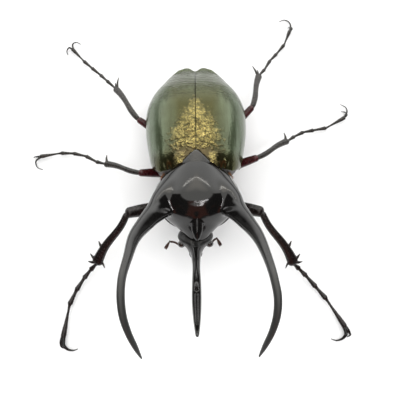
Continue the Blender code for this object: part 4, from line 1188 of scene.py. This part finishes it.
def inner_rings(y, turn, bow=0.0, step=0.0):
    """Sections of the body inside the elytra, narrower at the neck. step raises the underside."""
    outer = np.minimum(y + BODY_INSET * np.clip((y - INSET_FROM_Y) / INSET_LONG, 0.0, 1.0), APEX_Y)
    neck = np.maximum(0.0, 1.0 - (y - EDGE_Y) / NECK_LONG) ** 2
    half = at(ELYTRA_WIDTH, outer) - BODY_INSET - NECK_INSET * neck
    top = at(ELYTRA_TOP, outer) - BODY_INSET
    side = np.minimum(at(ELYTRA_MARGIN, y), top - BODY_LEAST)
    bottom = np.minimum(at(BODY_BOTTOM, y), side - BODY_LEAST) + step
    return body_rings(y, half, top, side, bottom, turn, ELYTRA_POWER, BELLY_POWER, bow=bow)


def thorax_shell(count=70, sides=120):
    """The hind thorax, with a keel along the middle of its underside and a fine furrow in the keel."""
    y = np.linspace(EDGE_Y - 0.3, WAIST_Y, count)
    rings = inner_rings(y, full_turn(sides), np.linspace(1.0, 0.0, count) ** 2)
    x, under = rings[..., 0], rings[..., 2] < KEEL_BELOW_Z
    rise = KEEL_FURROW * bump(x, KEEL_FURROW_WIDE) - KEEL_DEEP * bump(x, KEEL_WIDE)
    rings[..., 2] += np.where(under, rise, 0.0)
    return closed_shell(rings)


def abdomen_shell(count=150, sides=120):
    """Belly plates in a row. Each starts sunken, at a fine furrow, and comes down to its full size."""
    y = np.linspace(WAIST_Y, PYGIDIUM_Y, count)
    place = (y - WAIST_Y) / (PYGIDIUM_Y - WAIST_Y) * STERNITES % 1.0
    step = STERNITE_STEP * (1 - place) ** 2 + STERNITE_FURROW * bump(place, STERNITE_FURROW_WIDE)
    return closed_shell(inner_rings(y, full_turn(sides), step=step))


def pygidium_shell(count=40, sides=90):
    """The last plate, its sections drawn in to a rounded end."""
    rings = inner_rings(np.linspace(PYGIDIUM_Y, BODY_END_Y, count), full_turn(sides))
    middle = rings.mean(axis=1, keepdims=True)
    draw = np.sqrt(np.maximum(1 - np.linspace(0.0, 0.98, count) ** 4, 0.01))[:, None, None]
    return closed_shell(middle + (rings - middle) * draw)


# Legs


def limb_shell(start, end, sizes, bow, over, count=60, sides=40, flutes=0.0, power=2.2, sway=0.0):
    """A leg piece from joint to joint, bowed up by a half sine, with rounded ends over past the joints.

    flutes is the depth of the eight furrows along it, as a share of its radius, and sway the reach
    of its bend to the side, one way after the knee and the other before the foot.
    """
    start, end = np.array(start, float), np.array(end, float)
    along = unit(end - start)
    length = np.linalg.norm(end - start)
    share = np.linspace(-over[0] / length, 1 + over[1] / length, count)
    size = at([(place, *size) for place, size in zip(np.linspace(0, 1, len(sizes)), sizes)], share)
    path = start + (end - start) * share[:, None]
    inside = np.clip(share, 0, 1)[:, None]
    path[:, 2] += bow * np.sin(math.pi * inside[:, 0])
    aside = unit(np.cross(along, (0.0, 0.0, 1.0)))
    path += sway * aside * np.sin(2 * math.pi * inside) * (1 - 0.5 * inside)
    rows = np.column_stack([path, size * end_rounding(count, 0.07)[:, None]])
    turn = full_turn(sides)
    section = superellipse(turn, power) * (1 + flutes * (np.cos(8 * turn) - 1) / 2)[:, None]
    return closed_shell(rings_along(rows, section, upright(along)))


def tooth_shell(root, tip, thick, bend):
    """A tooth that curves towards bend as it tapers."""
    middle = (root + tip) / 2 + np.asarray(bend)
    return tapered((root, middle, tip), thick, TOOTH_TIP, 26, 14, round_ends=False)


def tibia_shells(kind, knee, ankle, toothed):
    """The shin and its teeth. toothed is the sign of the side that has them."""
    knee, ankle = np.array(knee), np.array(ankle)
    shells = [limb_shell(knee, ankle, TIBIA[kind], TIBIA_BOW, (0.3, 0.35), 90, flutes=FLUTES,
                         sway=-TIBIA_SWAY[kind] * toothed)]
    along = unit((ankle - knee) * (1, 1, 0))
    side = np.cross(along, (0.0, 0.0, 1.0)) * toothed
    for share, out, onward, thick in TEETH[kind]:
        root = knee + (ankle - knee) * share + (0.0, 0.0, TIBIA_BOW * math.sin(math.pi * share))
        tip = root + side * out + along * onward
        shells.append(tooth_shell(root, tip, thick, along * 0.25 * np.sign(out) * thick))
    return shells


def tarsus_shell(ankle, foot, bead, count=22):
    """Five joints in a chain, each widening to its far end, the last one long and slim."""
    points = np.array([ankle, *foot], float)
    rows = []
    for i, (start, end) in enumerate(zip(points, points[1:])):
        share = np.linspace(0.02, 0.99, count)
        thick = bead * at(LAST_FOOT_JOINT if i == 4 else FOOT_JOINT, share)
        rows.append(np.column_stack([start + (end - start) * share[:, None], thick, thick * 0.92]))
    rows = np.concatenate(rows)
    for _ in range(3):
        rows[1:-1, :3] = (rows[:-2, :3] + 2 * rows[1:-1, :3] + rows[2:, :3]) / 4
    return closed_shell(rings_along(rows, circle(16)))


def claw_shells(foot, claws, thick):
    """Two hooks from the last foot joint down to the floor."""
    points = np.array(foot, float)
    shells = []
    for claw in claws:
        path = np.array([points[-1] + 0.12 * (points[-2] - points[-1]), *claw])
        path[-1, 2] = CLAW_TIP / 2
        sizes = np.linspace(thick, CLAW_TIP, len(path))
        rows = curve_through(np.column_stack([path, sizes, sizes]), 40)
        rows[:, 2] = np.maximum(rows[:, 2], rows[:, 3] / 2)
        shells.append(closed_shell(rings_along(rows, circle(14))))
    return shells


def bristles(roots, directions, length, thick, seed):
    """Thin cones, four-sided, from each root along its direction, varied a little and drooping."""
    rng = np.random.default_rng(seed)
    roots, directions = np.array(roots, float), unit(np.array(directions, float))
    count = len(roots)
    directions = unit(directions + rng.normal(0.0, 0.18, (count, 3)))
    reach = length * rng.uniform(0.6, 1.15, count)[:, None]
    side = unit(np.cross(directions, (0.31, 0.22, 0.93)))
    up = np.cross(side, directions)
    rings = []
    for share, width in ((0.0, 1.0), (0.5, 0.7), (1.0, 0.12)):
        middle = roots + directions * reach * share - np.array((0, 0, 1.0)) * 0.12 * reach * share**2
        for angle in full_turn(4):
            rings.append(middle + (side * math.cos(angle) + up * math.sin(angle)) * width * thick / 2)
    points = np.stack(rings, axis=1).reshape(-1, 3)
    pattern = [(r * 4 + i, r * 4 + (i + 1) % 4, r * 4 + 4 + (i + 1) % 4, r * 4 + 4 + i)
               for r in (0, 1) for i in range(4)] + [(3, 2, 1, 0), (8, 9, 10, 11)]
    faces = (np.array(pattern)[None] + (np.arange(count) * 12)[:, None, None]).reshape(-1, 4)
    return points, faces.tolist()


# Operators


class BeetleOperator(bpy.types.Operator):
    bl_options = {"REGISTER", "UNDO"}


class BEETLE_OT_elytra(BeetleOperator):
    """Builds the two wing covers and the small plate between them"""

    bl_idname = "beetle.elytra"
    bl_label = "Wing Covers"

    def execute(self, context):
        for name, side in SIDES.items():
            dressed("elytron_shell_" + name, elytron_shell(side), "bronze", "elytra", "elytron_" + name)
        dressed("scutellum_plate", scutellum_shell(), "pitted", "black_shell", "scutellum")
        return {"FINISHED"}


class BEETLE_OT_pronotum(BeetleOperator):
    """Builds the shield behind the head and its three horns"""

    bl_idname = "beetle.pronotum"
    bl_label = "Pronotum and Horns"

    def execute(self, context):
        for node, made in make_pronotum_and_horns().items():
            look = "horn" if node in ("pronotal_horn_left", "pronotal_horn_right") else "black"
            settle(made, look, [node])
        return {"FINISHED"}


class BEETLE_OT_head(BeetleOperator):
    """Builds the head with its horn, eyes, jaws, palps and antennae"""

    bl_idname = "beetle.head"
    bl_label = "Head"

    def execute(self, context):
        for node, made in make_head_and_horn().items():
            settle(made, "black" if node == "head_horn" else "rough", [node])
        for name, side in SIDES.items():
            palp, jaw = (np.array(path) * (side, 1, 1) + HEAD_MIDDLE for path in (PALP, MANDIBLE))
            palp, jaw = tapered(palp, 0.8, 0.6, 40, 16), tapered(jaw, 1.8, 0.7, 40, 20)
            antenna = joined(antenna_shells(*ANTENNAE[name]))
            dressed("eye_ball_" + name, eye_shell(side), "eye", "eye", "eye_" + name)
            dressed("antenna_shell_" + name, antenna, "antenna", "limb", "antenna_" + name)
            dressed("palp_shell_" + name, palp, "antenna", "limb", "palp_" + name)
            dressed("mandible_shell_" + name, jaw, "black", "black_shell", "mandible_" + name)
        return {"FINISHED"}


class BEETLE_OT_underside(BeetleOperator):
    """Builds the hind thorax, the belly and the last plate"""

    bl_idname = "beetle.underside"
    bl_label = "Underside"

    def execute(self, context):
        for name, shell in (("hind_thorax", thorax_shell()), ("abdomen", abdomen_shell()),
                            ("pygidium", pygidium_shell())):
            dressed(name + "_plate", shell, "under", "underside", name)
        return {"FINISHED"}


class BEETLE_OT_legs(BeetleOperator):
    """Builds the six legs, each from hip to claws"""

    bl_idname = "beetle.legs"
    bl_label = "Legs"

    def execute(self, context):
        for leg, pose in LEGS.items():
            kind, side = leg.split("_")
            sign = SIDES[side]
            root, hip = (np.array(point) * (sign, 1, 1) for point in COXAE[kind])
            knee, ankle, foot = pose["knee"], pose["ankle"], pose["foot"]
            coxa = limb_shell(root, hip, [(size, size) for size in COXA_THICK], 0.0, (0.3, 0.9))
            femur = limb_shell(hip, knee, FEMUR[kind], FEMUR_BOW, (0.4, 0.7), 70, 44, power=2.4)
            tibia = joined(tibia_shells(kind, knee, ankle, -sign))
            tarsus = tarsus_shell(ankle, foot, FOOT_THICK[kind])
            femur_look, shin_look = ("fore", "fore") if kind == "fore" else ("thigh", "leg")
            for part, shell, look, slot in (("coxa", coxa, "thigh", "thigh"),
                                            ("femur", femur, femur_look, "thigh"),
                                            ("tibia", tibia, shin_look, "limb"),
                                            ("tarsus", tarsus, shin_look, "limb")):
                dressed(f"{kind}_{part}_shell_{side}", shell, look, slot, f"{kind}_{part}_{side}")
            claws = claw_shells(foot, (pose["claw"], pose["claw_2"]), CLAW_THICK[kind])
            dressed(f"{kind}_claws_{side}", joined(claws), "black", "limb")
        return {"FINISHED"}


class BEETLE_OT_bristles(BeetleOperator):
    """Builds the rust orange bristles between the shells and on the legs"""

    bl_idname = "beetle.bristles"
    bl_label = "Bristles"

    def execute(self, context):
        # Down the sides of the seam behind the shield
        share = np.linspace(0.0, 1.0, 160)
        x, z = 12.6 + 1.5 * share, 24.0 - 6.0 * share
        roots = [stacked(side * x, rear_edge(x) - 0.3, z) for side in SIDES.values()]
        ways = [stacked(side * (0.5 + share), 0.9, 0.35) for side in SIDES.values()]
        tufts = bristles(np.concatenate(roots), np.concatenate(ways), 1.4, 0.07, 5)
        dressed("bristles_behind_pronotum", tufts, "hair", "limb")

        # Four at the far end of each foot joint
        roots, ways = [], []
        for pose in LEGS.values():
            points = np.array([pose["ankle"], *pose["foot"]], float)
            for start, end in zip(points, points[1:]):
                along = unit(end - start)
                across = unit(np.cross(along, (0, 0, 1.0)))
                for turn in (-1, -0.4, 0.4, 1):
                    roots.append(end - along * 0.7 + across * 0.45 * turn)
                    ways.append(along * 1.2 + across * turn + (0, 0, -0.3))
        dressed("bristles_on_feet", bristles(roots, ways, 1.1, 0.09, 6), "hair", "limb")
        return {"FINISHED"}


class BEETLE_OT_stage(BeetleOperator):
    """Sets the floor, the lights, the room and the camera"""

    bl_idname = "beetle.stage"
    bl_label = "Stage"

    def execute(self, context):
        studio = context.scene.beetle_studio
        floor = mesh_object("floor", *floor_mesh(), outward=False)
        floor.data.materials.append(finish_of("floor"))
        add_camera(studio)
        add_lights(studio)
        add_room(studio)
        context.scene.view_settings.view_transform = "Standard"
        return {"FINISHED"}


# Stage


def floor_mesh():
    """A flat square just under the feet, much wider than the view."""
    low, high = (np.array(corner) for corner in CAD_BOX)
    middle = (low + high) / 2
    corners = [(middle[0] + a * FLOOR_HALF, middle[1] + b * FLOOR_HALF, low[2] - FLOOR_GAP)
               for a, b in ((-1, -1), (1, -1), (1, 1), (-1, 1))]
    return (np.array(corners) - BASE) / MM, [(0, 1, 2, 3)]


def looking(place, target):
    """The matrix of a lamp or camera at a place that faces the target, both in body millimetres."""
    place, target = (Vector(np.array(point) * MM + BASE) for point in (place, target))
    return Matrix.Translation(place) @ (target - place).to_track_quat("-Z", "Y").to_matrix().to_4x4()


def add_camera(studio):
    """A camera before and above the beetle that looks at the shield."""
    data = bpy.data.cameras.new("camera")
    data.sensor_width = 36.0
    data.lens = studio.lens
    data.clip_start = 0.01
    made = bpy.data.objects.new("camera", data)
    place = (LOOK_AT[0], -studio.camera_lead / MM, studio.camera_height / MM)
    made.matrix_world = looking(place, LOOK_AT) @ Matrix.Rotation(studio.roll, 4, "Z")
    bpy.context.scene.collection.objects.link(made)
    bpy.context.scene.camera = made


def area_light(name, place, size, power, colour):
    """A rectangular lamp turned to the middle of the shield's disc."""
    data = bpy.data.lights.new(name, "AREA")
    data.shape = "RECTANGLE"
    data.size, data.size_y = size
    data.energy = power
    data.color = colour
    made = bpy.data.objects.new(name, data)
    made.matrix_world = looking(place, DISC_MIDDLE)
    bpy.context.scene.collection.objects.link(made)


def toward(azimuth, elevation, distance):
    """A place seen from the disc in a direction: azimuth 0 is ahead of the beetle, and + is its left."""
    turn, rise = math.radians(azimuth), math.radians(elevation)
    way = (math.sin(turn) * math.cos(rise), -math.cos(turn) * math.cos(rise), math.sin(rise))
    return np.array(DISC_MIDDLE) + distance * np.array(way)


def add_lights(studio):
    """A long lamp behind and a shorter one high in front, both turned to the shield's disc."""
    area_light("tube_behind", toward(180, 48, 700), (0.76, 0.022), 1.15 * studio.tubes, (1.0, 0.97, 0.9))
    area_light("tube_ahead", toward(19, 60, 600), (0.20, 0.013), 0.5 * studio.tubes, (1.0, 1.0, 1.0))


def add_room(studio):
    """A plain light room. What shines in it mirrors dark walls ahead and at the sides, red brown ahead.

    height is the sine of a direction's angle over the floor, and ahead is the cosine of its turn from
    straight ahead. The room is brightest low on its walls and in a round patch high up behind.
    """
    world = bpy.data.worlds.new("room")
    world.use_nodes = True
    bpy.context.scene.world = world
    kit = Kit(world.node_tree, "Background")
    way = kit.node("TexCoord").outputs["Generated"]
    height, forward = kit.split(way)["Z"], kit.times(kit.split(way)["Y"], -1.0)
    ahead = kit.maths("DIVIDE", forward, kit.maths("SQRT", kit.minus(1.0001, kit.times(height, height))))
    low = kit.ranged(height, 0.12, 0.34, 0.26, 0.0)
    front = kit.ranged(kit.plus(ahead, low), -0.34, -0.20)
    band = kit.times(kit.ranged(height, -0.30, -0.20), kit.ranged(height, 0.885, 0.862))
    shade = kit.mixed(kit.ranged(ahead, 0.90, 0.975), (0.02, 0.02, 0.024), (0.35, 0.105, 0.07))
    wall = kit.mixed(kit.ranged(height, -0.05, 0.2), (1.1, 1.1, 1.1), (2.6, 2.6, 2.56))
    light = kit.mixed(kit.ranged(height, 0.30, 0.87), wall, (1.5, 1.5, 1.44))
    behind = kit.node("VectorMath", (0, way), (1, unit(np.array((0.0, 0.5, 0.87)))),
                      operation="DOT_PRODUCT").outputs["Value"]
    light = kit.mixed(kit.ranged(behind, 0.91, 0.985), light, (2.6, 2.5, 2.3))
    mirrored = kit.mixed(kit.times(front, band), light, shade)
    kit.set("Color", kit.mixed(kit.glossy_ray(), (1.15, 1.15, 1.15), mirrored))
    kit.set("Strength", studio.ceiling)


class BEETLE_PT_panel(bpy.types.Panel):
    bl_label = "Caucasus Beetle"
    bl_idname = "BEETLE_PT_panel"
    bl_space_type = "VIEW_3D"
    bl_region_type = "UI"
    bl_category = "Beetle"

    def draw(self, context):
        for settings in (context.scene.beetle_colours, context.scene.beetle_studio):
            for name in settings.__annotations__:
                self.layout.prop(settings, name)
        for step in STEPS:
            self.layout.operator(step.bl_idname)


STEPS = (BEETLE_OT_stage, BEETLE_OT_elytra, BEETLE_OT_pronotum, BEETLE_OT_head, BEETLE_OT_underside,
         BEETLE_OT_legs, BEETLE_OT_bristles)
CLASSES = (BeetleColours, BeetleStudio, *STEPS, BEETLE_PT_panel)


def register():
    """Adds the classes, and gives the scene its colours and studio settings."""
    for item in CLASSES:
        bpy.utils.register_class(item)
    bpy.types.Scene.beetle_colours = bpy.props.PointerProperty(type=BeetleColours)
    bpy.types.Scene.beetle_studio = bpy.props.PointerProperty(type=BeetleStudio)


def unregister():
    """Takes away what register() adds."""
    del bpy.types.Scene.beetle_studio
    del bpy.types.Scene.beetle_colours
    for item in reversed(CLASSES):
        bpy.utils.unregister_class(item)


def main():
    """Registers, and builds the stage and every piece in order."""
    register()
    bpy.ops.beetle.stage()
    bpy.ops.beetle.elytra()
    bpy.ops.beetle.pronotum()
    bpy.ops.beetle.head()
    bpy.ops.beetle.underside()
    bpy.ops.beetle.legs()
    bpy.ops.beetle.bristles()


if __name__ == "__main__":
    main()
